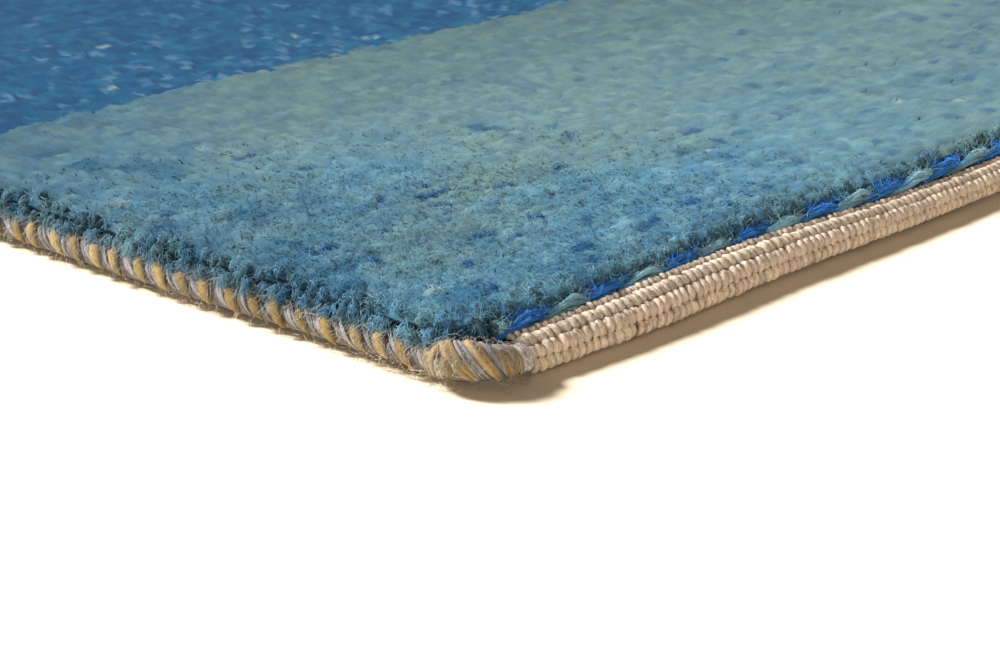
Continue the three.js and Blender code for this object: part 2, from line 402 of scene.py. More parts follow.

# %% [markdown]
# ## The pile bed
# Clipped pile closes into one soft, lumpy surface, so most of it can be a height field: a dome for
# each knot, leaning as the knot leans, with fine roughness on top. The grid's lines are close together
# near the corner that the camera sees from nearby and drift apart across the rug, so that the detail
# goes where it shows. Shade is painted into the colour: darker down between the knots, where light
# hardly reaches, a little darker far from the corner, and darker down the walls under the tufts.

# %% Lines that are close together near the corner
BED_SIDE = HALF_WIDTH - 4.6
BED_END = HALF_LENGTH - 12.6
NEAR_RIM_LINES = (0.0, 0.5, 1.1)
FAR_RIM_LINES = (5.5, 3.2, 1.6, 0.5, 0.0)
FAR_RIM_CLEAR = 10
GRADED = dict(fine=0.9, fine_reach=55, growth=0.0105)
STRIPE_LINES = np.linspace(-6, 6, 11)
STRIPE_CLEAR = 7


def graded_lines(length, coarse, fine, fine_reach, growth):
    """Positions from 0 to length: fine steps up to fine_reach, then growing to coarse ones."""
    lines = list(NEAR_RIM_LINES)
    while lines[-1] < length - FAR_RIM_CLEAR:
        step = fine + max(0.0, lines[-1] - fine_reach) * growth
        lines.append(lines[-1] + min(step, coarse))
    return np.array(lines + [length - over for over in FAR_RIM_LINES])


bed_x = graded_lines(2 * BED_SIDE, 4.8, **GRADED) - BED_SIDE
bed_y = graded_lines(2 * BED_END, 5.6, **GRADED) - BED_END
for edge in (TEAL_BAND - HALF_LENGTH, HALF_LENGTH - TEAL_BAND):
    clear = np.abs(bed_y - edge) > STRIPE_CLEAR
    bed_y = np.sort(np.concatenate([bed_y[clear], edge + STRIPE_LINES]))
print("bed grid:", len(bed_x), "by", len(bed_y), "lines")


# %% Which knot covers a place
LEAN_SHOWN = 0.8
RAGGED = 1.1


def owner_of(x, y):
    """The knot whose wool covers each place, and the distance to that knot's middle."""
    at_column = np.floor(x / KNOT_ACROSS + knots_wide / 2).astype(int)
    at_row = np.floor(y / KNOT_ALONG + knots_long / 2).astype(int)
    ragged_x = x + RAGGED * (soft_noise(x, y, 1.3, 6) - 0.5)
    ragged_y = y + RAGGED * (soft_noise(x, y, 1.3, 7) - 0.5)
    nearest = np.full(x.size, np.inf)
    owner = np.zeros(x.size, dtype=int)
    for side in (-1, 0, 1):
        for ahead in (-1, 0, 1):
            knot = np.clip(at_row + ahead, 0, knots_long - 1) * knots_wide
            knot = knot + np.clip(at_column + side, 0, knots_wide - 1)
            away_x = ragged_x - knot_x[knot] - LEAN_SHOWN * lean_x[knot]
            away_y = ragged_y - knot_y[knot] - LEAN_SHOWN * lean_y[knot]
            away = np.hypot(away_x, away_y) + thinner[knot]
            closer = away < nearest
            nearest[closer] = away[closer]
            owner[closer] = knot[closer]
    return owner, nearest


# %% The bed's height and colour
SHOULDER = 9.4
ROLL_IN = 3.5
OPEN_REACH = 14.0
KNOT_DOME = 2.3

gx, gy = np.meshgrid(bed_x, bed_y)
gx, gy = gx.ravel(), gy.ravel()
owner, away = owner_of(gx, gy)
corner_away = np.hypot(gx - CORNER[0], gy - CORNER[1])
calm = ease(corner_away, 70, 280)
dome = np.maximum(1 - (away / KNOT_DOME) ** 2, -0.6 * (1 - calm))
rough = 0.55 * (soft_noise(gx, gy, 0.9, 8) - 0.5) + 0.3 * (soft_noise(gx, gy, 2.2, 9) - 0.5)
over_rim = np.minimum(BED_SIDE - np.abs(gx), BED_END - np.abs(gy))
opened = 1 - ease(over_rim, 2, OPEN_REACH)
depth = 0.75 * (1 - 0.65 * calm) + 0.6 * opened
height = knot_top[owner] - 0.4 + (dome - 1) * depth + rough * (1 - 0.5 * calm)
roll = np.clip(over_rim / ROLL_IN, 0, 1)
height = SHOULDER + (height - SHOULDER) * np.sqrt(roll * (2 - roll))
# Painted shade: the colour is darker down between the knots' domes, more so near the rim, less far from the
# corner.
painted_gap_shade = (0.34 + 0.2 * opened) * (1 - 0.7 * calm)
grain = 0.22 * (1 - 0.7 * calm) * (soft_noise(gx, gy, 0.7, 10) - 0.5)
# Painted shade: the bed's colour is made up to 17% darker far from the corner.
far_painted_shade = 1 - 0.17 * ease(corner_away, 130, 300)
bed_dye_and_shade = knot_dye[owner] * (far_painted_shade * (1 - painted_gap_shade * (1 - np.clip(dome, 0, 1)) + grain))[:, None]
rx, ry = rounded(gx, gy, BED_SIDE, BED_END, CLOTH_ROUND)
bed_top = np.stack([rx, ry, height], -1)

# %% The bed's walls, down to the cloth
# Each ring's shade value is painted shade: it darkens the wall's colour lower down, under the overhanging
# tufts.
WALL_RINGS = (
    dict(z=8.6, side=4.6, end=12.5, lumps=0.9, shade=0.7, map_out=0.006),
    dict(z=7.8, side=5.2, end=12.7, lumps=0.8, shade=0.5, map_out=0.011),
    dict(z=7.2, side=6.4, end=13.0, lumps=0.3, shade=0.35, map_out=0.015),
    dict(z=7.1, side=8.2, end=13.2, lumps=0.0, shade=0.25, map_out=0.019),
    dict(z=2.95, side=8.2, end=13.2, lumps=0.0, shade=0.25, map_out=0.024),
    dict(z=2.95, side=150.0, end=220.0, lumps=0.0, shade=0.25, map_out=0.03),
)
MAP_SIDE = 0.94
CORNER_CLEARANCE = 1.3

wide, long = len(bed_x), len(bed_y)
rim_points = grid_rim(wide, long)
map_x = gx / BED_SIDE
map_y = gy / BED_END
rim_lump = np.clip(dome, -0.3, 1)[rim_points] - 0.4
near_corner = np.hypot(np.abs(gx) - BED_SIDE, np.abs(gy) - BED_END)[rim_points]
over_corner = CORNER_CLEARANCE * (1 - ease(near_corner, 12, 26))
bed_parts = [bed_top]
bed_dyes_and_shade = [bed_dye_and_shade]
bed_maps = [np.stack([map_x, map_y], -1) * MAP_SIDE / 2 + 0.5]
bed_faces = [grid_faces(wide, long)]
upper, made = rim_points, gx.size
for ring in WALL_RINGS:
    half_x, half_y = HALF_WIDTH - ring["side"], HALF_LENGTH - ring["end"]
    wx, wy = map_x[rim_points] * half_x, map_y[rim_points] * half_y
    wx, wy = rounded(wx, wy, half_x, half_y, CLOTH_ROUND)
    wx += np.sign(wx) * (np.abs(map_x[rim_points]) > 0.999) * rim_lump * ring["lumps"]
    wy += np.sign(wy) * (np.abs(map_y[rim_points]) > 0.999) * rim_lump * ring["lumps"] * 0.6
    raised = over_corner if 5 < ring["z"] < 8 else 0
    bed_parts.append(np.stack([wx, wy, ring["z"] + np.zeros(wx.size) + raised], -1))
    # Painted shade on the wall, darker on the lower rings.
    bed_dyes_and_shade.append(bed_dye_and_shade[rim_points] * ring["shade"])
    spread = MAP_SIDE / 2 + ring["map_out"]
    bed_maps.append(np.stack([map_x, map_y], -1)[rim_points] * spread + 0.5)
    lower = np.arange(rim_points.size) + made
    bed_faces.append(between(lower, upper))
    upper, made = lower, made + rim_points.size
bed = make_piece(
    "pile_bed",
    lie_as_made(np.concatenate(bed_parts)),
    np.concatenate(bed_faces),
    np.concatenate(bed_maps),
    dye_and_painted_light=np.concatenate(bed_dyes_and_shade),
)

# %% [markdown]
# The bed is still open underneath. A hole with a plain rim is closed as by hand: its edges are the
# only ones with a face on just one side, so they are selected by that, and one face is filled in.

# %% Closing the bed underneath
bpy.ops.object.select_all(action="DESELECT")
bed.select_set(True)
bpy.context.view_layer.objects.active = bed
bpy.ops.object.mode_set(mode="EDIT")
bpy.ops.mesh.select_mode(type="EDGE")
bpy.ops.mesh.select_all(action="DESELECT")
bpy.ops.mesh.select_non_manifold()
bpy.ops.mesh.edge_face_add()
bpy.ops.mesh.select_all(action="DESELECT")
bpy.ops.object.mode_set(mode="OBJECT")
print("pile bed:", len(bed.data.polygons), "faces, closed")

# %% Softer shading on the bed
SOFTENED = 1.6

normals = np.empty(3 * len(bed.data.vertices))
bed.data.vertices.foreach_get("normal", normals)
normals = normals.reshape(-1, 3)
on_top = np.arange(len(normals)) < gx.size
normals[on_top] = unit(normals[on_top] + (0, 0, SOFTENED))
bed.data.normals_split_custom_set_from_vertices(normals.astype(np.float32))

# %% [markdown]
# ## One fibre and one length of yarn
# All the wool that stands up, wraps or is stitched is a copy of one of a few small shapes, each
# modelled once: a three-sided cone for a fibre that runs out to a point, and a bar for a length of
# yarn. Each is cut across into rings, and each copy is bent along a line of its own, ring by ring,
# which is how a rope tool bends a tube. All copies for one purpose are joined in one mesh. A single
# fibre is lit as part of a mass, so its shading normals can be drawn towards the surface's own.

# %% The small shapes
def ringed(shape, rings):
    """Cuts a standing shape of height 1 across into rings, and takes it apart into arrays."""
    bpy.ops.object.mode_set(mode="EDIT")
    for i in range(1, rings - 1):
        bpy.ops.mesh.select_all(action="SELECT")
        bpy.ops.mesh.bisect(plane_co=(0, 0, i / (rings - 1)), plane_no=(0, 0, 1))
    bpy.ops.mesh.select_all(action="SELECT")
    bpy.ops.mesh.quads_convert_to_tris()
    bpy.ops.object.mode_set(mode="OBJECT")
    place = np.array([shape.matrix_world @ v.co for v in shape.data.vertices])
    faces = np.array([polygon.vertices[:] for polygon in shape.data.polygons])
    bpy.data.objects.remove(shape)
    at_tip = np.hypot(place[:, 0], place[:, 1]) < 0.01
    return dict(
        ring=np.rint(place[:, 2] * (rings - 1)).astype(int),
        angle=np.arctan2(place[:, 1], place[:, 0]),
        size=np.where(at_tip, 0.0, 1.0),
        faces=faces,
        rings=rings,
    )


def fibre_shape(rings):
    """A thin cone of three sides."""
    bpy.ops.object.select_all(action="DESELECT")
    bpy.ops.mesh.primitive_cone_add(vertices=3, radius1=1, depth=1, location=(0, 0, 0.5))
    return ringed(bpy.context.object, rings)


def yarn_shape(sides, rings):
    """A round bar."""
    bpy.ops.object.select_all(action="DESELECT")
    bpy.ops.mesh.primitive_cylinder_add(vertices=sides, radius=1, depth=1, location=(0, 0, 0.5))
    return ringed(bpy.context.object, rings)


bent_fibre = fibre_shape(3)
curled_fibre = fibre_shape(4)
print("fibres of", len(bent_fibre["faces"]), "and", len(curled_fibre["faces"]), "triangles")


# %% Bending the copies
def bend_copies(
    shape, paths, thickness, dyes_and_painted_light, across=(0.13, 0.07, 1.0), broad=1.0, twist=0.0, towards=None
):
    """Copies of a shape, each bent along its own path.

    paths holds the points of each path, and thickness the half thickness at each point, both in
    millimetres. A yarn is broad times as wide along the direction across. twist turns the pattern
    in the yarn, in radians a millimetre. towards draws the shading normals of each path's points
    that way, so that a fine fibre is lit like the surface that it belongs to.
    """
    count, steps, _ = paths.shape
    ring, angle = shape["ring"], shape["angle"]
    direction = np.gradient(paths, axis=1)
    direction /= np.linalg.norm(direction, axis=2, keepdims=True)
    sideways = np.cross(direction, np.asarray(across, dtype=float))
    sideways /= np.linalg.norm(sideways, axis=2, keepdims=True)
    outwards = np.cross(direction, sideways)
    half = (thickness[:, ring] * shape["size"])[..., None]
    cosine, sine = np.cos(angle)[:, None], np.sin(angle)[:, None]
    round_off = sideways[:, ring] * cosine + (outwards * broad)[:, ring] * sine
    facing = unit(sideways[:, ring] * cosine + (outwards / broad)[:, ring] * sine)
    if towards is not None:
        facing = unit(facing + np.broadcast_to(towards, paths.shape)[:, ring])
    lengths = np.linalg.norm(np.diff(paths, axis=1), axis=2)
    along = np.concatenate([np.zeros((count, 1)), np.cumsum(lengths, axis=1)], axis=1)[:, ring]
    turned = angle + twist * along
    reach = thickness[:, ring]
    start = np.arange(count)[:, None] * 7.3
    yarn = np.stack([np.cos(turned) * reach, np.sin(turned) * reach, along + start], -1)
    map_u = ring / (steps - 1) + 0.03 * np.sin(angle)
    map_v = 0.5 + 0.45 * np.cos(angle + 0.35)
    colours = np.broadcast_to(dyes_and_painted_light[:, None] if dyes_and_painted_light.ndim == 2 else dyes_and_painted_light, (count, steps, 3))
    return dict(
        points=(paths[:, ring] + half * round_off).reshape(-1, 3),
        faces=(shape["faces"] + (np.arange(count) * len(ring))[:, None, None]).reshape(-1, 3),
        dye_and_painted_light=colours[:, ring].reshape(-1, 3),
        yarn=yarn.reshape(-1, 3),
        facing=facing.reshape(-1, 3),
        map=np.tile(np.stack([map_u, map_v], -1), (count, 1)),
        copy=np.repeat(np.arange(count), len(ring)),
        count=count,
    )


LOWEST_POINT = 0.02


def join_copies(name, *batches):
    """One piece from all the copies, with a small square of the map for each copy."""
    total = sum(batch["count"] for batch in batches)
    squares = int(np.ceil(np.sqrt(total)))
    first_point, first_copy = 0, 0
    faces, maps = [], []
    for batch in batches:
        faces.append(batch["faces"] + first_point)
        square = batch["copy"] + first_copy
        corner = np.stack([square % squares, square // squares], -1)
        maps.append((corner + 0.12 + 0.76 * batch["map"]) / squares)
        first_point += len(batch["points"])
        first_copy += batch["count"]
    points = lie_as_made(np.concatenate([batch["points"] for batch in batches]))
    points[:, 2] = np.maximum(points[:, 2], LOWEST_POINT)
    dye_and_painted_light = np.concatenate([batch["dye_and_painted_light"] for batch in batches])
    yarn = np.concatenate([batch["yarn"] for batch in batches])
    facing = np.concatenate([batch["facing"] for batch in batches])
    return make_piece(name, points, np.concatenate(faces), np.concatenate(maps), dye_and_painted_light, yarn, facing)


# %% [markdown]
# ## The fibres of the pile
# Clipped wool doesn't end in points: each strand bends over at its tip and lies against its
# neighbours. So most fibres here run up inside their knot and then lie down on the surface. A few thin
# ones spring out and curl, and they are what makes wool look soft. Light is painted along each fibre:
# darker at the root, as painted shade down in the pile, and lighter towards the tip, as painted
# highlight, most on the curling ones. The fibres are many and thin near the corner, and fewer and
# thicker further off, where one of them is smaller than a pixel.

# %% Fibres that lie on the surface, and fibres that curl
UPWARDS = (0, 0, 1.8)
KNOT_SPREAD = 2.0
THIN_KNOT = 1.2
DOME_FALL = 0.14
# The last entry of each table is painted light along the fibre: darker at the root, as painted shade, and
# lighter towards the tip, as painted highlight.
LYING = dict(
    long=(1.3, 2.8), turning=0.9, levels=(-0.75, -0.22, -0.5), uneven=(0.15, 0.14, 0.25),
    taper=(1.1, 1, 0.3), painted_light_along=(0.92, 1.02, 1.1),
)
CURLING = dict(
    long=(2.0, 4.5), turning=0.5, root=-1.3, bend=-0.25, tip=(-0.5, 0.3),
    taper=(1, 1, 0.8, 0.3), painted_light_along=(1.0, 1.3, 1.55, 1.55),
)


def some(low, high, count):
    """Even random values between two limits."""
    return chance.uniform(low, high, count)


def wander_on(x_and_y, heading, curl, long, shares):
    """Steps on from a place on the surface, turning by curl from step to step."""
    places = [x_and_y]
    for step, share in enumerate(shares):
        way = heading + curl * step
        places.append(places[-1] + share * long[:, None] * np.stack([np.cos(way), np.sin(way)], -1))
    return np.stack(places, 1)


def knot_feet(knots):
    """A place for each fibre on its knot, and how far down the knot's dome that is."""
    spin = some(0, 2 * np.pi, knots.size)
    out = ((KNOT_SPREAD - THIN_KNOT * thinner[knots]) * np.sqrt(chance.random(knots.size)))[:, None]
    middle = np.stack([knot_x + LEAN_SHOWN * lean_x, knot_y + LEAN_SHOWN * lean_y], -1)[knots]
    return middle + out * np.stack([np.cos(spin), np.sin(spin)], -1), DOME_FALL * out[:, 0] ** 2


def lying_fibres(knots, thick, spread, low, broad):
    """Each comes up out of its knot and lies down in an arc, as in felt."""
    n = knots.size
    feet, down = knot_feet(knots)
    paths = np.empty((n, 3, 3))
    heading = some(0, 2 * np.pi, n)
    curl = chance.normal(0, LYING["turning"], n)
    paths[..., :2] = wander_on(feet, heading, curl, some(*LYING["long"], n), (0.5, 0.5))
    level = knot_top[knots] - down - low
    paths[..., 2] = level[:, None] + chance.normal(LYING["levels"], LYING["uneven"], (n, 3))
    half = some(0.56, 1, n)[:, None] * thick * np.array(LYING["taper"])
    tone = chance.normal(1, spread, n).clip(0.65, 1.5)[:, None, None]
    # The fibre's colour, with painted shade at the root and painted highlight towards the tip.
    dyes_and_painted_light = knot_dye[knots][:, None] * tone * np.array(LYING["painted_light_along"])[:, None]
    return bend_copies(bent_fibre, paths, half, dyes_and_painted_light, broad=broad, towards=UPWARDS)


def curling_fibres(knots, thick, spread):
    """Each springs out of the surface and curls over in the air."""
    n = knots.size
    feet, _ = knot_feet(knots)
    paths = np.empty((n, 4, 3))
    heading = some(0, 2 * np.pi, n)
    curl = chance.normal(0, CURLING["turning"], n)
    paths[..., :2] = wander_on(feet, heading, curl, some(*CURLING["long"], n), (0.25, 0.4, 0.4))
    level = knot_top[knots]
    crest = level + chance.normal(0.05, 0.25, n)
    tip = crest + some(*CURLING["tip"], n)
    paths[..., 2] = np.stack([level + CURLING["root"], crest + CURLING["bend"], crest, tip], -1)
    half = some(0.58, 1, n)[:, None] * thick * np.array(CURLING["taper"])
    tone = chance.normal(1, spread, n).clip(0.6, 1.6)[:, None, None]
    # The fibre's colour, with painted highlight towards the tip.
    dyes_and_painted_light = knot_dye[knots][:, None] * tone * np.array(CURLING["painted_light_along"])[:, None]
    return bend_copies(curled_fibre, paths, half, dyes_and_painted_light, towards=UPWARDS)


# %% Where the fibres are dense
FIBRE_BELTS = (
    dict(belt="corner", reach=75, lying=17, curling=12, thick=0.9, spread=0.1, low=0, broad=0.45),
    dict(belt="near", reach=120, lying=11, curling=6, thick=1.0, spread=0.08, low=0.02, broad=0.4),
    dict(belt="middle", reach=155, lying=5, curling=0, thick=1.2, spread=0.05, low=0.1, broad=0.3),
)
LYING_HALF = 0.13
CURLING_HALF = 0.05

seen = in_picture(np.stack([knot_x, knot_y, knot_top], -1))
wool_pieces = []
taken = np.zeros(knot_count, dtype=bool)
for belt in FIBRE_BELTS:
    chosen = np.flatnonzero(seen & ~taken & (from_corner < belt["reach"]))
    taken[chosen] = True
    lying = np.repeat(chosen, belt["lying"])
    thick = LYING_HALF * belt["thick"]
    batches = [lying_fibres(lying, thick, belt["spread"], belt["low"], belt["broad"])]
    if belt["curling"]:
        curling = np.repeat(chosen, belt["curling"])
        batches.append(curling_fibres(curling, CURLING_HALF * belt["thick"], 1.5 * belt["spread"]))
    wool_pieces.append(join_copies("pile_fibres_" + belt["belt"], *batches))

# %% [markdown]
# ## The tufts at the rim
# The outermost knots have no neighbours to hold them up, so they open like small curly brushes and
# hang over the side cords and the twined rows, with dark gaps between them. Each tuft is a lumpy ball
# of wool with fibres that curl round it. The ball is an ico sphere with its points pushed in and out,
# and two layers of them go all round the rug, finest where the camera is near. The balls are painted
# dark, darkest underneath, as painted shade in the gaps, and the fibres get painted shade low down
# and painted highlight towards their pale tips.

# %% Places all round the rim
TUFT_ROUND = 8.0


def rim_places(side, end, pitch):
    """Places round the rug at the given insets, each with the way out."""
    half_x, half_y = HALF_WIDTH - side - TUFT_ROUND, HALF_LENGTH - end - TUFT_ROUND
    outline = []
    for quarter, (to_right, to_back) in enumerate(((1, 1), (-1, 1), (-1, -1), (1, -1))):
        angle = np.linspace(0, np.pi / 2, 9) + quarter * np.pi / 2
        x = to_right * half_x + TUFT_ROUND * np.cos(angle)
        outline.append(np.stack([x, to_back * half_y + TUFT_ROUND * np.sin(angle), angle], -1))
    outline.append(outline[0][:1] + (0, 0, 2 * np.pi))
    outline = np.concatenate(outline)
    steps = np.hypot(*np.diff(outline[:, :2], axis=0).T)
    length = np.concatenate([[0], np.cumsum(steps)])
    count = int(length[-1] / pitch)
    at = (np.arange(count) + 0.5) * length[-1] / count + chance.normal(0, 0.16 * pitch, count)
    x, y, angle = (np.interp(at, length, outline[:, i]) for i in range(3))
    return np.stack([x, y], -1), np.stack([np.cos(angle), np.sin(angle)], -1)


# %% Balls of wool, and fibres round them
# A pale colour that the tufts' fibre tips are blended towards, as painted highlight.
PAINTED_TIP_HIGHLIGHT = linear("#9fb9c0")


def ball_shape(levels):
    """The points and faces of a ball of three-sided faces, taken apart into arrays."""
    bpy.ops.object.select_all(action="DESELECT")
    bpy.ops.mesh.primitive_ico_sphere_add(subdivisions=levels, radius=1, location=(0, 0, 0))
    ball = bpy.context.object
    place = np.array([v.co[:] for v in ball.data.vertices])
    faces = np.array([polygon.vertices[:] for polygon in ball.data.polygons])
    bpy.data.objects.remove(ball)
    return place, faces


def balls(shape, hearts, sizes, dyes_and_painted_light):
    """Copies of a ball, each with its points pushed in and out, and painted dark as painted shade, darkest
    underneath.
    """
    place, faces = shape
    n, corners = len(hearts), len(place)
    lumpy = place * chance.normal(0.66, 0.12, (n, corners, 1)) * sizes[:, None, None]
    lumpy = lumpy * chance.normal(1, 0.18, (n, 1, 3))
    from_top = np.arccos(np.clip(place[:, 2], -1, 1)) / np.pi
    around = np.arctan2(place[:, 1], place[:, 0])
    flat = np.stack([np.cos(around), np.sin(around)], -1) * from_top[:, None] * 0.46 + 0.5
    # The colour is painted shade: dark all over, and darkest underneath.
    return dict(
        points=(hearts[:, None] + lumpy).reshape(-1, 3),
        faces=(faces + np.arange(n)[:, None, None] * corners).reshape(-1, 3),
        dye_and_painted_light=(dyes_and_painted_light[:, None] * (0.46 + 0.18 * place[:, 2])[:, None]).reshape(-1, 3),
        yarn=lumpy.reshape(-1, 3),
        facing=unit(lumpy + (0, 0, 0.6)).reshape(-1, 3),
        map=np.tile(flat, (n, 1)),
        copy=np.repeat(np.arange(n), corners),
        count=n,
    )


def fibres_round(hearts, ways_out, sizes, dyes_and_painted_light, each, thick, droop):
    """Fibres that come out of each ball, more on its outer side, and curl round it, with painted shade low
    down and painted highlight towards the tip.
    """
    rows = (hearts, ways_out, sizes, dyes_and_painted_light)
    hearts, ways_out, sizes, dyes_and_painted_light = (np.repeat(row, each, axis=0) for row in rows)
    n = len(hearts)
    first = chance.normal(0, 1, (n, 3)) + (0, 0, 0.3)
    first[:, :2] += 0.8 * ways_out
    first = unit(first)
    way = unit(np.cross(first, chance.normal(0, 1, (n, 3))))
    share = np.linspace(0, 1, bent_fibre["rings"])
    angle = (some(0.1, 1.5, n)[:, None] * share)[..., None]
    reach = sizes[:, None] * (some(0.7, 1.2, n)[:, None] + some(0, 0.85, n)[:, None] * share)
    outwards = first[:, None] * np.cos(angle) + way[:, None] * np.sin(angle)
    paths = hearts[:, None] + reach[..., None] * outwards
    paths[..., 2] -= droop * share**2
    half = some(0.5, 1, n)[:, None] * thick * np.array([1.2, 1, 0.3])
    low = (paths[..., 2] - hearts[:, None, 2]) / sizes[:, None]
    # Painted shade low on the ball, and painted highlight out along each fibre and at its tip.
    tone = chance.normal(1, 0.17, n).clip(0.6, 1.6)[:, None] * (0.7 + 0.16 * low + 0.5 * share)
    towards = 1.2 * outwards + (0, 0, 0.9)
    dyes_and_painted_light = blend(dyes_and_painted_light[:, None] * tone[..., None], PAINTED_TIP_HIGHLIGHT, some(0, 0.42, n)[:, None] * share)
    return bend_copies(bent_fibre, paths, half, dyes_and_painted_light, towards=towards)


# %% Two layers of tufts
TUFT_LAYERS = (
    dict(side=3.5, end=12.5, z=8.2, size=1.5, droop=1.5),
    dict(side=5.6, end=14.1, z=10.1, size=1.45, droop=0.5),
)
TUFT_BELTS = (
    dict(near=0, far=110, pitch=3.2, ball=2, fibres=64),
    dict(near=110, far=240, pitch=3.2, ball=2, fibres=30),
    dict(near=240, far=2000, pitch=5.2, ball=1, fibres=4),
)
TUFT_FIBRE = 0.095

near_tufts, away_tufts = [], []
for layer in TUFT_LAYERS:
    for belt in TUFT_BELTS:
        place, way_out = rim_places(layer["side"], layer["end"], belt["pitch"])
        distance = np.hypot(*(place - CORNER[:2]).T)
        kept = (distance >= belt["near"]) & (distance < belt["far"])
        place, way_out = place[kept], way_out[kept]
        n = len(place)
        place = place + way_out * chance.normal(0, 0.5, (n, 1))
        hearts = np.concatenate([place, layer["z"] + chance.normal(0, 0.5, (n, 1))], -1)
        coarse = belt["pitch"] / TUFT_BELTS[0]["pitch"]
        sizes = layer["size"] * some(0.75, 1.25, n) * coarse**0.7
        dyes_and_painted_light = knot_dye[owner_of(*place.T)[0]] * chance.normal(1.05, 0.12, (n, 1)).clip(0.7, 1.5)
        batches = away_tufts if coarse > 1 else near_tufts
        batches.append(balls(ball_shape(belt["ball"]), hearts, sizes, dyes_and_painted_light))
        thick = TUFT_FIBRE * coarse
        batches.append(fibres_round(hearts, way_out, sizes, dyes_and_painted_light, belt["fibres"], thick, layer["droop"]))
wool_pieces.append(join_copies("rim_tufts_near", *near_tufts))
wool_pieces.append(join_copies("rim_tufts_away", *away_tufts))

# %% [markdown]
# ## The overcast sides
# Each side is a bundle of warps that is wrapped over and over with yarn, so that it can't fray. The
# yarns are golden yellow and grey, and a yellow turn stands proud every 7 mm. The bundle turns the
# rug's corners, where the turns crowd together, and stops a short way along the ends. The core is one
# bent bar, and each turn is a length of yarn bent over it in a C, because the inner side is knotted
# into the rug. At a corner the camera is nearest, so each turn there is a few separate plies.

# %% The line that a cord follows
CORD = dict(width=7.8, height=6.8, swell=1.2, rise=2.8, jut=2.9, stub=2.0, pitch=6.9)
CORNER_RADIUS = 14.0
half_straight = HALF_LENGTH - CORNER_RADIUS
quarter_turn = math.pi / 2 * CORNER_RADIUS
half_cord = half_straight + quarter_turn + CORD["stub"]


def cord_line(along, side):
    """The middle of a side cord, its way out, half width and height, at a length along it."""
    from_middle = np.abs(along - half_cord)
    past_straight = np.maximum(0, from_middle - half_straight)
    turn = np.minimum(past_straight, quarter_turn) / CORNER_RADIUS
    past_turn = np.maximum(0, past_straight - quarter_turn)
    end = np.sign(along - half_cord)
    bulk = np.sin(np.pi * (turn / (np.pi / 2)) ** 0.6)
    half_width = CORD["width"] / 2 + CORD["swell"] * bulk
    reach = CORNER_RADIUS - half_width + CORD["jut"] * bulk
    out = np.stack([side * np.cos(turn), np.sin(turn) * end], -1)
    x = side * (HALF_WIDTH - CORNER_RADIUS + reach * np.cos(turn) - past_turn)
    y = np.minimum(from_middle, half_straight) * end + reach * out[..., 1]
    return np.stack([x, y], -1), out, half_width, CORD["height"] + CORD["rise"] * bulk


# %% Turns of yarn round a cord
YELLOW_SHADES = ("#97804f", "#8c7446", "#a18a5c")
GREY_SHADES = ("#938c90", "#9a9390", "#837f7c", "#a69f99")
STRAW_SHADES = ("#a0855a", "#93784a", "#ad9366")
STUB_SHADES = ("#f2e4d8",)
CORE_GREY = linear("#7a746d")


def any_of(names, count):
    """One of the named colours for each of count copies, a little lighter or darker."""
    table = np.array([linear(name) for name in names])
    tone = chance.normal(1, 0.09, (count, 1)).clip(0.75, 1.3)
    return table[chance.integers(0, len(names), count)] * tone


def cord_turns(side, turns, dyes_and_painted_light, shape):
    """Lengths of yarn bent over a cord.

    turns holds one row for each: its length along the cord, the angles round the cord where it starts
    and stops, with 90 degrees on top, how far it slants, how deep its middle lies in the cord, and half
    its thickness and its breadth as a share of that.
    """
    along, start, stop, lean, sunk, half, broad = (turns[:, i, None] for i in range(7))
    share = np.linspace(0, 1, shape["rings"])
    angle = np.radians(start + (stop - start) * share)
    past_top = angle / (np.pi / 2) - 1
    place = np.clip(along - lean * past_top, 0.6, 2 * half_cord - 0.6)
    middle, out, half_width, height = cord_line(place, side)
    outwards = -np.cos(angle) * (half_width - sunk)
    paths = np.empty((len(turns), shape["rings"], 3))
    paths[..., :2] = middle + out * outwards[..., None]
    paths[..., 2] = height / 2 + np.sin(angle) * (height / 2 - sunk)
    paths[..., 2] = np.maximum(paths[..., 2], half * 0.9)
    taper = np.sin(np.pi * (share * 0.94 + 0.03) ** 0.85) ** 0.85
    ahead, behind = cord_line(place + 0.5, side)[0], cord_line(place - 0.5, side)[0]
    across = np.zeros(paths.shape)
    across[..., :2] = ahead - behind
    across /= np.linalg.norm(across, axis=2, keepdims=True)
    return bend_copies(shape, paths, half * taper, dyes_and_painted_light, across=across, broad=broad[..., None], twist=0.5)


fine_yarn, plain_yarn = yarn_shape(8, 11), yarn_shape(6, 8)
fine_strand, plain_strand = yarn_shape(5, 9), yarn_shape(4, 7)

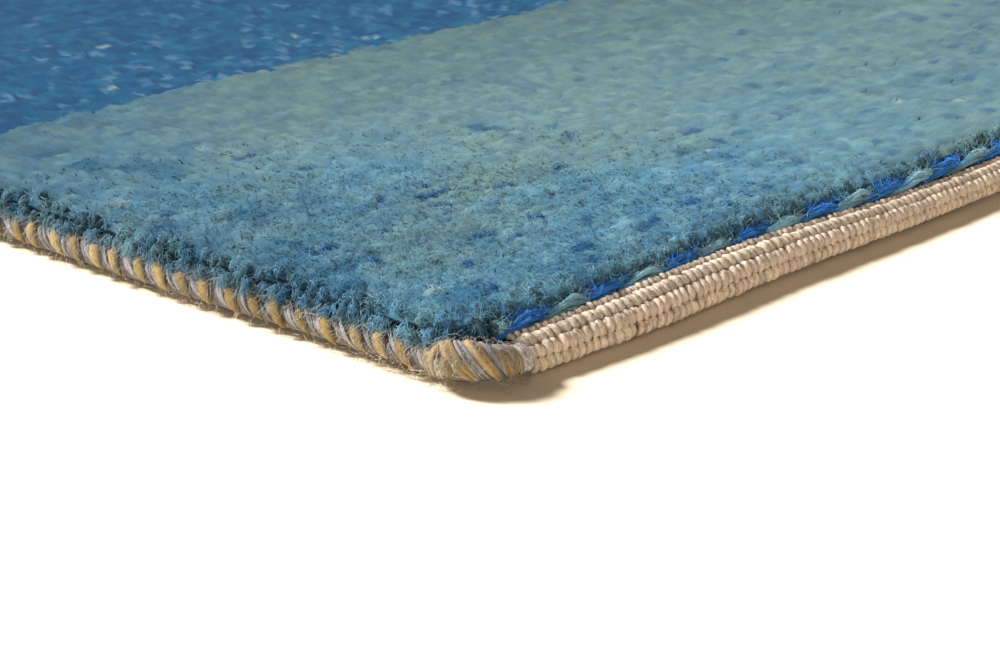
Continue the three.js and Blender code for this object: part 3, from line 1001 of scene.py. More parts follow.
# %% The turns that crowd a corner
CORNER_TURNS = (
    dict(along=24.4, start=70, lean=3.0, half=0.8, sunk=0.45, shades=GREY_SHADES),
    dict(along=22.6, start=66, lean=0.4, half=1.35, sunk=0.1, shades=STRAW_SHADES),
    dict(along=21.2, start=64, lean=5.0, half=1.5, sunk=0.05, shades=STRAW_SHADES),
    dict(along=22.6, start=158, lean=1.5, half=1.0, sunk=0.3, shades=GREY_SHADES),
    dict(along=20.6, start=150, lean=1.5, half=1.5, sunk=0.1, shades=STRAW_SHADES),
    dict(along=18.5, start=62, lean=4.6, half=0.8, sunk=0.5, shades=GREY_SHADES),
    dict(along=17.1, start=62, lean=4.6, half=0.8, sunk=0.5, shades=GREY_SHADES),
    dict(along=15.3, start=70, lean=4.2, half=1.2, sunk=0.1, shades=STRAW_SHADES),
    dict(along=13.3, start=60, lean=4.0, half=0.85, sunk=0.5, shades=GREY_SHADES),
    dict(along=11.8, start=60, lean=3.8, half=0.85, sunk=0.4, shades=GREY_SHADES),
    dict(along=9.9, start=112, lean=2.8, half=1.2, sunk=0.05, shades=STRAW_SHADES),
    dict(along=8.0, start=60, lean=3.0, half=0.9, sunk=0.35, shades=GREY_SHADES),
    dict(along=6.2, start=62, lean=0.8, half=1.2, sunk=0.1, shades=STRAW_SHADES),
    dict(along=4.4, start=66, lean=1.4, half=0.8, sunk=0.4, shades=GREY_SHADES),
    dict(along=2.3, start=58, lean=0.2, half=1.75, sunk=0.0, shades=STUB_SHADES),
)
CORNER_LENGTH = 24.5
CORNER_PLIES = 4


def corner_turns(side, back, shape):
    """The turns of one corner, each of a few plies, as separate batches with their own colours."""
    batches = []
    for turn in CORNER_TURNS:
        n = CORNER_PLIES
        along = 2 * half_cord - turn["along"] if back else turn["along"]
        lean = (-turn["lean"] if back else turn["lean"]) + chance.normal(0, 0.25, n)
        beside = np.linspace(-0.62, 0.62, n) * turn["half"]
        start, stop = turn["start"] + chance.normal(0, 3, n), some(208, 219, n)
        sunk = turn["half"] * 0.5 + turn["sunk"] + some(-0.15, 0.15, n)
        rows = (along + beside, start, stop, lean, sunk, turn["half"] * some(0.5, 0.66, n))
        turns = np.stack([*rows, some(1.0, 1.3, n)], -1)
        batches.append(cord_turns(side, turns, any_of(turn["shades"], n), shape))
    return batches


# %% A little loose wool at the corner
CREAM_FLUFF = dict(tufts=5, along=18.4, spread=1.1, out=4.2, z=4.4, uneven=0.7, size=0.85)
FLUFF_FIBRES = dict(each=70, thick=0.05, droop=0.6)
FLUFF_CREAM = linear("#f0e3c6")


def cream_fluff(side):
    """A few small tufts of undyed wool that cling to a cord where it turns its first corner."""
    n = CREAM_FLUFF["tufts"]
    at = CREAM_FLUFF["along"] + chance.normal(0, CREAM_FLUFF["spread"], n)
    middle, ways_out, _, _ = cord_line(at, side)
    z = CREAM_FLUFF["z"] + chance.normal(0, CREAM_FLUFF["uneven"], (n, 1))
    hearts = np.concatenate([middle + ways_out * CREAM_FLUFF["out"], z], -1)
    sizes = CREAM_FLUFF["size"] * some(0.6, 1.1, n)
    return fibres_round(hearts, ways_out, sizes, np.tile(FLUFF_CREAM, (n, 1)), **FLUFF_FIBRES)


# %% The turns along the straight
YELLOW_TURN = dict(start=(96, 116), stop=(196, 205), lean=(4.2, 5.8), sunk=(0.2, 0.45), broad=(1.3, 1.6))
GREY_TURN = dict(start=(45, 80), stop=(195, 220), lean=(3.5, 6.5), sunk=(0.6, 1.3), broad=(1.0, 1.3))
YELLOW_HALF = (0.8, 1.0)
FINE_STRANDS = dict(shares=(0.2, 0.32, 0.44, 0.56, 0.68, 0.8), half=(0.34, 0.48))
PLAIN_STRANDS = dict(shares=(0.36, 0.66), half=(0.8, 0.95))


def even_turns(side, place, kind, half, names, shape):
    """Turns at the given places along a cord, each a little different within the ranges of its kind."""
    n = place.size
    ranges = (kind["start"], kind["stop"], kind["lean"], kind["sunk"], half, kind["broad"])
    turns = np.stack([place, *(some(*limits, n) for limits in ranges)], -1)
    return cord_turns(side, turns, any_of(names, n), shape)


# %% The two cords
CORD_SEEN = 190.0
FIRST_TURN = 3.4
TURN_JITTER = 0.55
STRAND_JITTER = 0.3
CORE_END = 0.4
CORE_SLIMMER = 1.0


def make_cord(name, side):
    """A core, the turns of its corners, a yellow turn for each pitch, and grey strands between."""
    along = np.linspace(CORE_END, 2 * half_cord - CORE_END, 360)
    middle, _, half_width, height = cord_line(along, side)
    core = np.concatenate([middle, height[:, None] / 2], -1)[None]
    tapered = np.clip(np.minimum(along, along[::-1]) / 3, 0.3, 1) ** 0.5
    core_half = (half_width - CORE_SLIMMER)[None] * tapered
    core_dye = CORE_GREY * chance.normal(1, 0.12, (1, along.size, 1)).clip(0.7, 1.4)
    batches = [bend_copies(yarn_shape(8, along.size), core, core_half, core_dye, broad=0.86)]
    count = int((2 * half_cord - 2 * CORNER_LENGTH) / CORD["pitch"])
    at = CORNER_LENGTH + FIRST_TURN + np.arange(count) * CORD["pitch"]
    at += chance.normal(0, TURN_JITTER, count)
    near = (at < CORD_SEEN) if side < 0 else np.zeros(count, dtype=bool)
    batches += corner_turns(side, False, fine_strand if side < 0 else plain_strand)
    batches += corner_turns(side, True, plain_strand)
    batches.append(cream_fluff(side))
    fine = (at[near], fine_yarn, fine_strand, FINE_STRANDS)
    plain = (at[~near], plain_yarn, plain_strand, PLAIN_STRANDS)
    for here, yarn, strand, strands in (fine, plain):
        if here.size == 0:
            continue
        batches.append(even_turns(side, here, YELLOW_TURN, YELLOW_HALF, YELLOW_SHADES, yarn))
        for share in strands["shares"]:
            place = here + share * CORD["pitch"] + chance.normal(0, STRAND_JITTER, here.size)
            batches.append(even_turns(side, place, GREY_TURN, strands["half"], GREY_SHADES, strand))
    return join_copies(name, *batches)


left_cord = make_cord("overcast_side_left", -1)
right_cord = make_cord("overcast_side_right", 1)

# %% [markdown]
# ## The wrapped end bands
# The ends are closed with rows of soumak: a thick, undyed yarn is carried over the warps and back
# round them, so that each row is a line of slanting stitches. There are four rows here, and the two
# inner ones stand about equally high. One stitch is a short length of yarn that bulges over its row,
# and the rows are copies of it about 2 mm apart, each a little different.

# %% The rows of a band
BAND_HALF = 283.7
BAND_DEPTH = 8.9
BAND_THINNING = dict(share=0.23, wave=196.0, shift=2.64)
# The rows are one undyed yarn, and their colours differ a little as painted light: the second row, on top
# where the light falls, is painted darkest, and the innermost row, in the pile's shade, and the two lower
# rows, in shade on the front, are painted lighter.
BAND_ROWS = (
    dict(inwards=7.8, z=6.8, faces=88, bulge=0.9, pitch=1.9, lean=0.3, yarn=0.72, colour="#d8c4ae"),
    dict(inwards=5.1, z=5.95, faces=108, bulge=1.5, pitch=2.3, lean=-0.6, yarn=0.92, colour="#d3c1ab"),
    dict(inwards=2.65, z=4.55, faces=144, bulge=1.5, pitch=2.15, lean=0.35, yarn=0.94, colour="#dbc6b1"),
    dict(inwards=1.85, z=2.45, faces=184, bulge=1.35, pitch=2.15, lean=-0.3, yarn=0.94, colour="#e3ccb3"),
)
STITCH_BREADTH = 1.5
STITCH_WRAP = 78
PLY_APART = 0.36
PLY_HALF = 0.72
STITCH_JITTER = 0.12
FIRST_STITCH = 0.9
FINE_MARGIN = 120
BAND_CORE = dict(inwards=4.8, z=3.6, half=3.1, broad=1.28, colour="#87755d")


def band_size(x):
    """How thick a band is at x along it, as a share of its full size."""
    wave = np.sin(2 * np.pi * x / BAND_THINNING["wave"] + BAND_THINNING["shift"])
    return 1 - BAND_THINNING["share"] * (0.5 - 0.5 * wave)


def band_place(x, inwards, z, end):
    """A place on a band, thinned here and there, from x along it, the way in, and the height."""
    size = band_size(x)
    inwards = BAND_DEPTH - (BAND_DEPTH - inwards) * size
    return np.stack([x, end * (HALF_LENGTH - inwards), z * size], -1)


# %% The stitches
fine_ply, plain_stitch = yarn_shape(5, 6), yarn_shape(4, 4)


def stitches(x, row, end, plies, shape):
    """Stitches of one row at the given places, each of one yarn or of two plies that turn a little."""
    n = x.size
    share = np.linspace(-1, 1, shape["rings"])
    angle = np.radians(row["faces"] + share * STITCH_WRAP)[None] + chance.normal(0, 0.08, (n, 1))
    size = row["yarn"] * some(0.9, 1.08, n)[:, None] * np.sqrt(1 - (0.86 * share) ** 2)
    bulge = row["bulge"] * some(0.93, 1.05, n)[:, None]
    lean = (row["lean"] * some(0.75, 1.25, n))[:, None] * end
    dye_and_painted_light = linear(row["colour"]) * chance.normal(1, 0.07, (n, 1)) * chance.normal(1, 0.01, (n, 3))
    turn_start = some(0, np.pi, n)[:, None]
    batches = []
    for ply in range(plies):
        turn = turn_start + np.pi * ply + 0.9 * share
        apart = PLY_APART * size * (plies > 1)
        reach = bulge + apart * np.sin(turn)
        inwards = row["inwards"] + reach * np.cos(angle)
        z = np.maximum(row["z"] + reach * np.sin(angle), row["yarn"] * 0.8)
        at = x[:, None] + lean * share / 2 + 1.3 * apart * np.cos(turn)
        half = size * (PLY_HALF if plies > 1 else 1)
        path = band_place(at, inwards, z, end)
        way = dict(across=(1, 0, 0), broad=STITCH_BREADTH, twist=0.6)
        batches.append(bend_copies(shape, path, half, dye_and_painted_light, **way))
    return batches


def make_band(name, end):
    """A core under four rows of stitches. The part that the camera sees is made finer."""
    x = np.linspace(-BAND_HALF, BAND_HALF, 90)
    core = band_place(x, BAND_CORE["inwards"], BAND_CORE["z"], end)[None]
    half = BAND_CORE["half"] * band_size(x)[None]
    dye_and_painted_light = linear(BAND_CORE["colour"])[None]
    core_shape = yarn_shape(8, x.size)
    batches = [bend_copies(core_shape, core, half, dye_and_painted_light, across=(0, 1, 0), broad=BAND_CORE["broad"])]
    for row in BAND_ROWS:
        last = BAND_HALF - FIRST_STITCH
        count = int(2 * last / row["pitch"])
        at = np.linspace(-last, last, count) + chance.normal(0, STITCH_JITTER, count)
        seen_here = in_picture(band_place(at, row["inwards"], row["z"], end), FINE_MARGIN) & (end < 0)
        if seen_here.any():
            batches += stitches(at[seen_here], row, end, 2, fine_ply)
        batches += stitches(at[~seen_here], row, end, 1, plain_stitch)
    return join_copies(name, *batches)


front_band = make_band("wrapped_band_front", -1)
back_band = make_band("wrapped_band_back", 1)

# %% [markdown]
# ## The twined rows
# Between the band and the pile, two yarns are twined round each other, one deep blue and one pale
# teal, so that the colours take turns every half twist. Each yarn is a few loose strands that follow
# one spiral, thicker where the yarn lies on top, because soft yarn swells where nothing presses it.

# %% Two yarns round each other
TWINING = dict(from_end=10.6, z=6.9, turn=24.0, orbit=0.9, half=1.5, from_side=13.5, shift=2.88)
TWINED_BLUE = linear("#3a80cc")
TWINED_TEAL = linear("#90bdc9")


def twining_line(x, end):
    """The middle of a twined row, which swings outwards at its two ends, beside the cords."""
    to_end = HALF_WIDTH - TWINING["from_side"] - np.abs(x)
    swing = np.exp(-to_end / 5)
    inset = TWINING["from_end"] - 1.6 * swing
    return np.stack([x, end * (HALF_LENGTH - inset), TWINING["z"] + 0.9 * swing], -1)


def twining_turn(x):
    """How far the two yarns have turned round each other at x, in radians."""
    return 2 * np.pi * x / TWINING["turn"] + TWINING["shift"]


def make_twining(name, end, steps, strands):
    """Two loosely spun yarns of a few strands each, that bulge where they lie on top."""
    half_row = HALF_WIDTH - TWINING["from_side"]
    x = np.linspace(-half_row, half_row, steps)
    turn = twining_turn(x)
    batches = []
    for dye_and_painted_light, phase in ((TWINED_BLUE, 0.0), (TWINED_TEAL, np.pi)):
        on_top = np.cos(turn + phase)
        size = TWINING["half"] * (0.74 + 0.34 * on_top)
        for strand in range(strands):
            spin = 2 * np.pi * strand / strands + 0.5 * turn + phase
            stray = soft_noise(x, x * 0 + 9.5 * strand, 2.3, 13) - 0.5
            path = twining_line(x, end)
            path[:, 1] -= end * (TWINING["orbit"] * 0.7 * np.sin(turn + phase) + 0.6 * size * np.cos(spin))
            path[:, 2] += TWINING["orbit"] * on_top + 0.6 * size * np.sin(spin) + 0.5 * stray
            half = (size * (0.42 + 0.3 * stray))[None]
            tone = dye_and_painted_light * chance.normal(1, 0.2, (1, 1)).clip(0.7, 1.4)
            batches.append(bend_copies(yarn_shape(4, steps), path[None], half, tone, twist=0.6))
    return join_copies(name, *batches)


front_twining = make_twining("twined_row_of_yarn_front", -1, 380, 5)
back_twining = make_twining("twined_row_of_yarn_back", 1, 200, 3)

# %% [markdown]
# ## Loose hairs
# Hand-spun yarn is never smooth. Fine hairs stand off it everywhere, and along the lower edges, where
# the rug rubs on the floor, longer brown and cream ones curl out. Each hair is a very thin cone. Some
# set off in their own direction and turn a little at each step, and others follow the round of a
# cord or a band. They are many where the camera is near and few elsewhere.

# %% Hairs that stand off
FREE_TAPER = (1, 1, 0.8, 0.35)
HUGGING_TAPER = (0.7, 1, 0.9, 0.35)
FLOOR_CLEARANCE = 0.15


def free_hairs(starts, headings, long, curl, half, dyes_and_painted_light, towards=(0, 0, 0.8)):
    """Hairs that set off from the starts and curl as they go. long and half are ranges in mm."""
    n, steps = len(starts), curled_fibre["rings"]
    step = some(*long, n)[:, None] / (steps - 1)
    heading = unit(headings)
    spin = chance.normal(0, curl, (n, 3))
    paths = np.empty((n, steps, 3))
    paths[:, 0] = starts
    for i in range(1, steps):
        paths[:, i] = paths[:, i - 1] + heading * step
        heading = unit(heading + np.cross(spin, heading) * step)
    paths[..., 2] = np.maximum(paths[..., 2], FLOOR_CLEARANCE)
    thick = some(*half, n)[:, None] * np.array(FREE_TAPER)
    return bend_copies(curled_fibre, paths, thick, dyes_and_painted_light, towards=towards)


# %% Places on the cords and the bands
HAIR_GREYS = ("#a39b99", "#b6aca2", "#8f8884", "#cabfb0", "#93999b")
HAIR_BROWNS = ("#bb9f6e", "#d2bb8c", "#eaddc0", "#c2a87a", "#f0e6d2")
HAIR_CREAMS = ("#e4d6c0", "#cdb896", "#a88f6c")


def on_cord(along, degrees, side):
    """Places on a cord, and the way out, the way round and the way along there."""
    angle = np.radians(degrees)[:, None]
    middle, out, half_width, height = cord_line(along, side)
    half_width, height = half_width[:, None], height[:, None]
    place = np.concatenate([middle - out * np.cos(angle) * half_width, height / 2 * (1 + np.sin(angle))], -1)
    outwards = np.concatenate([-out * np.cos(angle), np.sin(angle)], -1)
    around = np.concatenate([out * np.sin(angle), np.cos(angle)], -1)
    return place, outwards, around, np.cross(outwards, around)


def on_band(x, degrees, end):
    """The same for a band."""
    angle = np.radians(degrees)
    place = band_place(x, 4.6 + 4.1 * np.cos(angle), np.maximum(3.9 + 3.6 * np.sin(angle), 0.3), end)
    outwards = np.stack([0 * x, -end * np.cos(angle), np.sin(angle)], -1)
    around = np.stack([0 * x, end * np.sin(angle), np.cos(angle)], -1)
    return place, outwards, around, np.cross(outwards, around)


def lean_of(ways, shares):
    """A direction for each hair: a random part of each of three ways, from a mean and a spread."""
    return sum(way * chance.normal(*share, (len(way), 1)) for way, share in zip(ways, shares))


# %% Hairs that hug the yarn
def hugging_hairs(surface, end, at, degrees, slide, sweep, lift, half, dyes_and_painted_light):
    """Hairs that follow a cord or a band for a few millimetres and rise off it a little."""
    n, steps = at.size, curled_fibre["rings"]
    share = np.linspace(0, 1, steps)
    along = at[:, None] + chance.normal(0, slide, (n, 1)) * share + chance.normal(0, 0.12, (n, steps))
    turned = degrees[:, None] + some(*sweep, n)[:, None] * share
    place, outwards, *_ = surface(along.ravel(), turned.ravel(), end)
    outwards = outwards.reshape(n, steps, 3)
    rise = 0.3 + some(0, lift, n)[:, None] * np.sin(np.pi * share)
    paths = place.reshape(n, steps, 3) + outwards * rise[..., None]
    paths[..., 2] = np.maximum(paths[..., 2], FLOOR_CLEARANCE)
    thick = some(*half, n)[:, None] * np.array(HUGGING_TAPER)
    return bend_copies(curled_fibre, paths, thick, dyes_and_painted_light, towards=outwards)


# %% Hairs on the cords
STRAY = ((0.7, 0.4), (0.4, 0.7), (0.0, 1.0))
SEEN_EDGE = 168.0
CORD_START = 0.5
CORD_STOP = 2 * half_cord - CORD_START
STRAY_LONG = (1.0, 2.6)
CORD_HAIRS = (
    dict(side=-1, reach=(CORD_START, SEEN_EDGE), hugging=900, stray=260, stray_long=STRAY_LONG),
    dict(side=-1, reach=(CORD_START, 45.0), hugging=120, stray=80, stray_long=(2.5, 6.5)),
    dict(side=-1, reach=(SEEN_EDGE, CORD_STOP), hugging=130, stray=130, stray_long=STRAY_LONG),
    dict(side=1, reach=(CORD_START, CORD_STOP), hugging=160, stray=160, stray_long=STRAY_LONG),
)


def cord_hairs(side, reach, hugging, stray, stray_long):
    """Hairs that lie round a cord, and stray ones from its lower edge, over the reach given."""
    at = some(*reach, hugging)
    dyes_and_painted_light = any_of(HAIR_GREYS, hugging)
    start = some(75, 165, hugging)
    batches = [hugging_hairs(on_cord, side, at, start, 2.0, (15, 60), 0.8, (0.03, 0.055), dyes_and_painted_light)]
    at = some(*reach, stray)
    place, *ways = on_cord(at, some(188, 225, stray), side)
    dyes_and_painted_light = any_of(HAIR_BROWNS, stray)
    batches.append(free_hairs(place, lean_of(ways, STRAY), stray_long, 0.5, (0.03, 0.055), dyes_and_painted_light))
    return batches


cord_batches = [batch for stretch in CORD_HAIRS for batch in cord_hairs(**stretch)]
cord_hair = join_copies("loose_hairs_cords", *cord_batches)

# %% Wisps of pile that droop over the cords
WISP_GREYS = ("#87999c", "#94a3a3", "#7a909a")
DROOPING = ((1.0, 0.3), (0.0, 0.45), (-0.75, 0.4))
WISPS_FROM = 16.0
WISPS_TO = 2 * half_cord - WISPS_FROM


def drooping_wisps(side, reach, count):
    """Wisps from the outermost tufts, that fall over a cord in locks."""
    at = some(*reach, count)
    locks = soft_noise(at, 0 * at, 2.6, 11) > 0.42
    at = at[locks]
    n = at.size
    middle, out, half_width, _ = cord_line(at, side)
    place = np.concatenate([middle - out * some(-0.6, 1.6, n)[:, None], some(6.2, 8.6, n)[:, None]], -1)
    outwards = np.concatenate([out, np.zeros((n, 1))], -1)
    ahead = np.stack([-out[:, 1], out[:, 0], np.zeros(n)], -1)
    heading = lean_of((outwards, ahead, np.broadcast_to((0.0, 0, 1.0), (n, 3))), DROOPING)
    mixed = blend(knot_dye[owner_of(*place[:, :2].T)[0]], any_of(WISP_GREYS, n), some(0.15, 0.75, n))
    towards = 0.8 * outwards[:, None] + (0, 0, 0.6)
    return free_hairs(place, heading, (2.0, 4.8), 0.45, (0.06, 0.1), mixed, towards)


wisps = join_copies(
    "drooping_wisps",
    drooping_wisps(-1, (WISPS_FROM, SEEN_EDGE), 2600),
    drooping_wisps(-1, (SEEN_EDGE, WISPS_TO), 400),
    drooping_wisps(1, (WISPS_FROM, WISPS_TO), 500),
)
wool_pieces.append(wisps)

# %% Hairs on the bands
BAND_SEEN = -115.0
BAND_HAIRS = (
    dict(end=-1, reach=(-BAND_HALF, BAND_SEEN), hugging=700, stray=640),
    dict(end=-1, reach=(BAND_SEEN, BAND_HALF), hugging=60, stray=110),
    dict(end=1, reach=(-BAND_HALF, BAND_HALF), hugging=100, stray=160),
)


def band_hairs(end, reach, hugging, stray):
    """Hairs that lie on a band, and stray ones from its lower edge, over the reach given."""
    x = some(*reach, hugging)
    dyes_and_painted_light = any_of(HAIR_CREAMS, hugging)
    start = some(60, 190, hugging)
    batches = [hugging_hairs(on_band, end, x, start, 1.2, (-25, 25), 0.5, (0.03, 0.05), dyes_and_painted_light)]
    x = some(*reach, stray)
    place, *ways = on_band(x, some(178, 232, stray), end)
    dyes_and_painted_light = any_of(HAIR_BROWNS, stray)
    batches.append(free_hairs(place, lean_of(ways, STRAY), (1.0, 3.8), 0.7, (0.035, 0.06), dyes_and_painted_light))
    return batches


band_batches = [batch for stretch in BAND_HAIRS for batch in band_hairs(**stretch)]
band_hair = join_copies("loose_hairs_bands", *band_batches)

# %% Hairs on the twined rows
TWINED = ((0.0, 1.0), (0.0, 0.5), (0.3, 0.3))
TWINED_END = 286
TWINED_SEEN = -110


def twining_hairs(end, reach, count):
    """Hairs along a twined row, of the colour of the yarn that lies on top there."""
    x = some(*reach, count)
    on_top = np.cos(twining_turn(x))
    around = some(-1.2, 1.2, count)
    place = twining_line(x, end)
    reach_out = TWINING["half"] + TWINING["orbit"] * 0.8
    place[:, 1] -= end * np.sin(around) * reach_out * 0.9
    place[:, 2] += np.cos(around) * reach_out - 0.2
    ways = np.eye(3)[:, None] * np.ones((count, 1))
    heading = lean_of(ways, TWINED)
    dyes_and_painted_light = np.where((on_top > 0)[:, None], TWINED_BLUE * 1.35, TWINED_TEAL * 0.95)
    dyes_and_painted_light = dyes_and_painted_light * chance.normal(1, 0.2, (count, 1)).clip(0.5, 1.8)
    return free_hairs(place, heading, (1.5, 4.0), 0.35, (0.04, 0.07), dyes_and_painted_light)


twining_hair = join_copies(
    "loose_hairs_twined_rows",
    twining_hairs(-1, (-TWINED_END, TWINED_SEEN), 1150),
    twining_hairs(-1, (TWINED_SEEN, TWINED_END), 80),
    twining_hairs(1, (-TWINED_END, TWINED_END), 120),
)

# %% [markdown]
# ## The materials
# Wool is matt: its scales scatter light, and the loose fibres on it catch light from behind, which a
# little sheen stands for. The dye comes from the points, together with the painted shade and painted
# highlights that are painted into it there. A fine pattern of fibres changes the colour and the
# relief, and it follows Object coordinates on the pile and the twist of each yarn elsewhere.
# A real fibre is about 0.03 mm thick, which is too fine to show, so the pattern is drawn at 0.6 mm on
# the pile and at about 0.2 mm on the yarn.

# %% One function that adds a node
def add_node(tree, kind, settings=None, inputs=None):
    """A new node, with its settings, and with values or links at its inputs."""
    new = tree.nodes.new(kind)
    for name, value in (settings or {}).items():
        setattr(new, name, value)
    for name, value in (inputs or {}).items():
        if isinstance(value, bpy.types.NodeSocket):
            tree.links.new(value, new.inputs[name])
        else:
            new.inputs[name].default_value = value
    return new


def per_metre(size_mm):
    """A pattern's scale, from the size of one of its cells in millimetres."""
    return 1000 / size_mm


def new_material(name):
    """An empty material, and its node tree."""
    material = bpy.data.materials.new(name)
    material.use_nodes = True
    material.node_tree.nodes.clear()
    return material, material.node_tree


def wool_shader(tree, colour, bump_height, bump_mm):
    """The matt finish of wool, with a relief given in millimetres."""
    bump = add_node(tree, "ShaderNodeBump", None, {
        "Strength": 1.0,
        "Distance": bump_mm * MM,
        "Height": bump_height,
    })
    shader = add_node(tree, "ShaderNodeBsdfPrincipled", None, {
        "Base Color": colour,
        "Roughness": 0.9,
        "IOR": 1.54,
        "Specular IOR Level": 0.05,
        "Sheen Weight": 0.04,
        "Sheen Roughness": 0.5,
        "Normal": bump.outputs["Normal"],
    })
    add_node(tree, "ShaderNodeOutputMaterial", None, {"Surface": shader.outputs["BSDF"]})


# %% Clipped wool pile
def clipped_pile():
    """Clipped, hand-spun wool: matt, with a grain of cut fibres. The knots' domes are in the mesh."""
    material, tree = new_material("clipped_wool_pile")
    place = add_node(tree, "ShaderNodeTexCoord").outputs["Object"]
    dye_and_painted_light = add_node(tree, "ShaderNodeAttribute", {"attribute_name": "dye_and_painted_light"}).outputs["Color"]
    grain = add_node(tree, "ShaderNodeTexNoise", None, {
        "Vector": place, "Scale": per_metre(0.6), "Detail": 3.0, "Roughness": 0.6,
    })
    tone = add_node(tree, "ShaderNodeMapRange", None, {
        "Value": grain.outputs["Fac"], "From Min": 0.3, "From Max": 0.7, "To Min": 0.9, "To Max": 1.1,
    })
    colour = add_node(tree, "ShaderNodeVectorMath", {"operation": "SCALE"}, {
        0: dye_and_painted_light, "Scale": tone.outputs["Result"],
    })
    wool_shader(tree, colour.outputs["Vector"], grain.outputs["Fac"], 0.12)
    return material


# %% Spun wool yarn
def spun_yarn():
    """Hand-spun wool yarn: matt, with fine fibres that run round it along the twist."""
    material, tree = new_material("hand_spun_wool_yarn")
    place = add_node(tree, "ShaderNodeAttribute", {"attribute_name": "yarn"}).outputs["Vector"]
    dye_and_painted_light = add_node(tree, "ShaderNodeAttribute", {"attribute_name": "dye_and_painted_light"}).outputs["Color"]
    along = add_node(tree, "ShaderNodeMapping", None, {"Vector": place, "Scale": (1.0, 1.0, 0.16)})
    fibres = add_node(tree, "ShaderNodeTexNoise", None, {
        "Vector": along.outputs["Vector"], "Scale": 5.5, "Detail": 3.0, "Roughness": 0.65,
    })
    tone = add_node(tree, "ShaderNodeMapRange", None, {
        "Value": fibres.outputs["Fac"], "From Min": 0.3, "From Max": 0.7, "To Min": 0.66, "To Max": 1.3,
    })
    colour = add_node(tree, "ShaderNodeVectorMath", {"operation": "SCALE"}, {
        0: dye_and_painted_light, "Scale": tone.outputs["Result"],
    })
    wool_shader(tree, colour.outputs["Vector"], fibres.outputs["Fac"], 0.35)
    return material


# %% Woven foundation, from below
def woven_back():
    """The rug's back: rows of knot collars between flat wefts, each a small bead in a shade of teal."""
    material, tree = new_material("woven_wool_foundation")
    place = add_node(tree, "ShaderNodeTexCoord").outputs["Object"]
    split = add_node(tree, "ShaderNodeSeparateXYZ", None, {"Vector": place}).outputs
    waves = []
    for axis, pitch in (("X", KNOT_ACROSS / 2), ("Y", KNOT_ALONG)):
        turns = add_node(tree, "ShaderNodeMath", {"operation": "MULTIPLY"}, {
            0: split[axis], 1: 2 * math.pi * per_metre(pitch),
        })
        waves.append(add_node(tree, "ShaderNodeMath", {"operation": "SINE"}, {0: turns.outputs[0]}))
    beads = add_node(tree, "ShaderNodeMath", {"operation": "MULTIPLY_ADD"}, {
        0: waves[0].outputs[0], 1: 0.5, 2: waves[1].outputs[0],
    })
    cells = add_node(tree, "ShaderNodeTexVoronoi", {"feature": "F1"}, {
        "Vector": place, "Scale": per_metre(KNOT_ACROSS), "Randomness": 0.4,
    })
    shade = add_node(tree, "ShaderNodeSeparateColor", None, {"Color": cells.outputs["Color"]})
    ramp = add_node(tree, "ShaderNodeValToRGB", None, {"Fac": shade.outputs["Red"]})
    ramp.color_ramp.elements[0].color = (*linear("#4a7788"), 1)
    ramp.color_ramp.elements[1].color = (*linear("#6b979c"), 1)
    bare = add_node(tree, "ShaderNodeMapRange", None, {
        "Value": beads.outputs[0], "From Min": -0.9, "From Max": 0.1, "To Min": 0.0, "To Max": 1.0,
    })
    colour = add_node(tree, "ShaderNodeMix", {"data_type": "RGBA"}, {
        0: bare.outputs["Result"], 6: (*linear("#a08b6c"), 1), 7: ramp.outputs["Color"],
    })
    wool_shader(tree, colour.outputs[2], beads.outputs[0], 0.25)
    return material


pile_wool = clipped_pile()
yarn_wool = spun_yarn()
for piece in (bed, *wool_pieces):
    piece.data.materials.append(pile_wool)
yarns = (left_cord, right_cord, front_band, back_band, front_twining, back_twining)
for piece in (*yarns, cord_hair, band_hair, twining_hair):
    piece.data.materials.append(yarn_wool)
cloth.data.materials.append(woven_back())
print("materials:", [m.name for m in bpy.data.materials])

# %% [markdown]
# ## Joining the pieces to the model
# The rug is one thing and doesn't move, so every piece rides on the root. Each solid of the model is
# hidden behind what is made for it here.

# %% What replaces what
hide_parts("pile_field")
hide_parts("pile_field")
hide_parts("side_cord_left")
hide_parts("side_cord_right")
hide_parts("end_band_front")
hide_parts("end_band_back")
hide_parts("twined_row_front")
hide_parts("twined_row_back")

slots = {
    "pile_wool": [cloth, bed, *wool_pieces],
    "cord_wool": [left_cord, right_cord, cord_hair],
    "band_wool": [front_band, back_band, band_hair],
    "twining_wool": [front_twining, back_twining, twining_hair],
}
for slot, pieces in slots.items():
    for piece in pieces:
        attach(piece, "root")

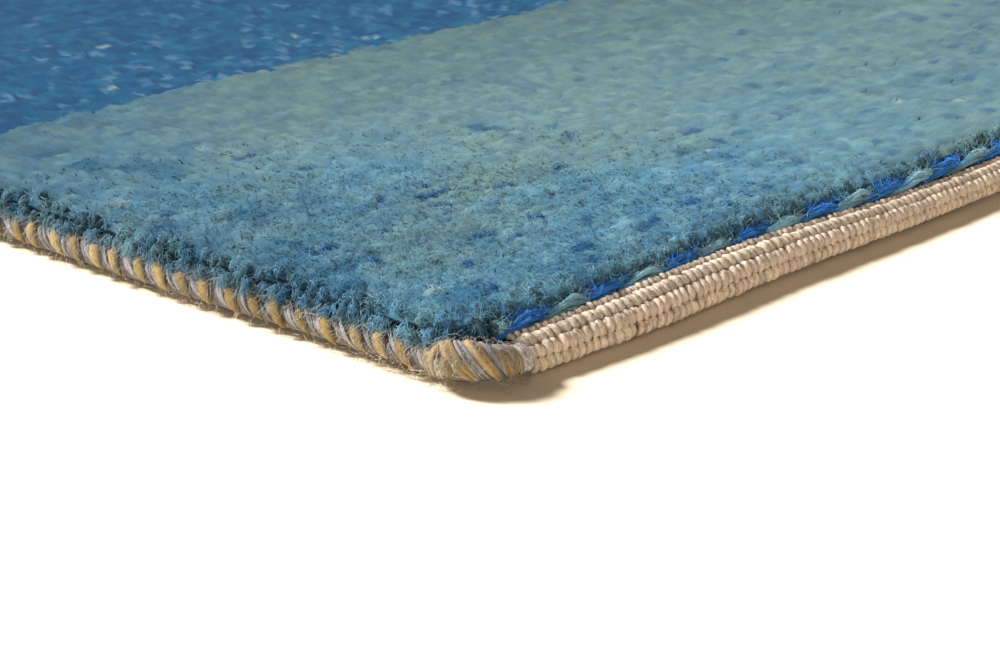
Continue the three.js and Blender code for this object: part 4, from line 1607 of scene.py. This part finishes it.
# %% [markdown]
# ## Floor and light
# The rug lies on a plain pale floor. The main light is a wide sun from behind, about 38 degrees up,
# which lays a shadow on the floor in front of the band and none along the left side. A second, very
# low and very wide one comes from the camera's side: it lights the band and the cords, and hardly the
# floor.

# %% The floor
bpy.ops.object.select_all(action="DESELECT")
bpy.ops.mesh.primitive_plane_add(size=60, location=(0, 0, 0))
floor = bpy.context.object
floor.name = "floor"
material, tree = new_material("pale_floor")
paint = add_node(tree, "ShaderNodeBsdfPrincipled", None, {
    "Base Color": (0.94, 0.78, 0.57, 1), "Roughness": 1.0, "Specular IOR Level": 0.0,
})
add_node(tree, "ShaderNodeOutputMaterial", None, {"Surface": paint.outputs["BSDF"]})
floor.data.materials.append(material)
floor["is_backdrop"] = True

# %% The light
ROOM_COLOUR = (1.0, 0.84, 0.62, 1)
ROOM_STRENGTH = 0.12

bpy.context.scene.view_settings.view_transform = "Standard"
world = bpy.data.worlds.new("soft_room")
world.use_nodes = True
background = world.node_tree.nodes["Background"]
background.inputs["Color"].default_value = ROOM_COLOUR
background.inputs["Strength"].default_value = ROOM_STRENGTH
bpy.context.scene.world = world

LIGHTS = (
    dict(come_from=(-0.35, 1.0, 0.82), angle=15, energy=8.5, colour=(0.97, 1.0, 1.05)),
    dict(come_from=(-0.74, -0.67, 0.06), angle=50, energy=2.5, colour=(1.0, 0.98, 0.95)),
)
for sun in LIGHTS:
    away = Vector(sun["come_from"])
    bpy.ops.object.light_add(type="SUN", location=away)
    light = bpy.context.object
    light.rotation_euler = (-away).to_track_quat("-Z", "Y").to_euler()
    light.data.angle = math.radians(sun["angle"])
    light.data.energy = sun["energy"]
    light.data.color = sun["colour"]

# %% Sizes kept, and the end
made_low, made_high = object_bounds()
sizes = {
    "model": [[float(v) for v in cad_low], [float(v) for v in cad_high]],
    "dressed": [[float(v) for v in made_low], [float(v) for v in made_high]],
}
print("sizes in millimetres:", [[round((b - a) * 1000, 1) for a, b in zip(*box)] for box in sizes.values()])
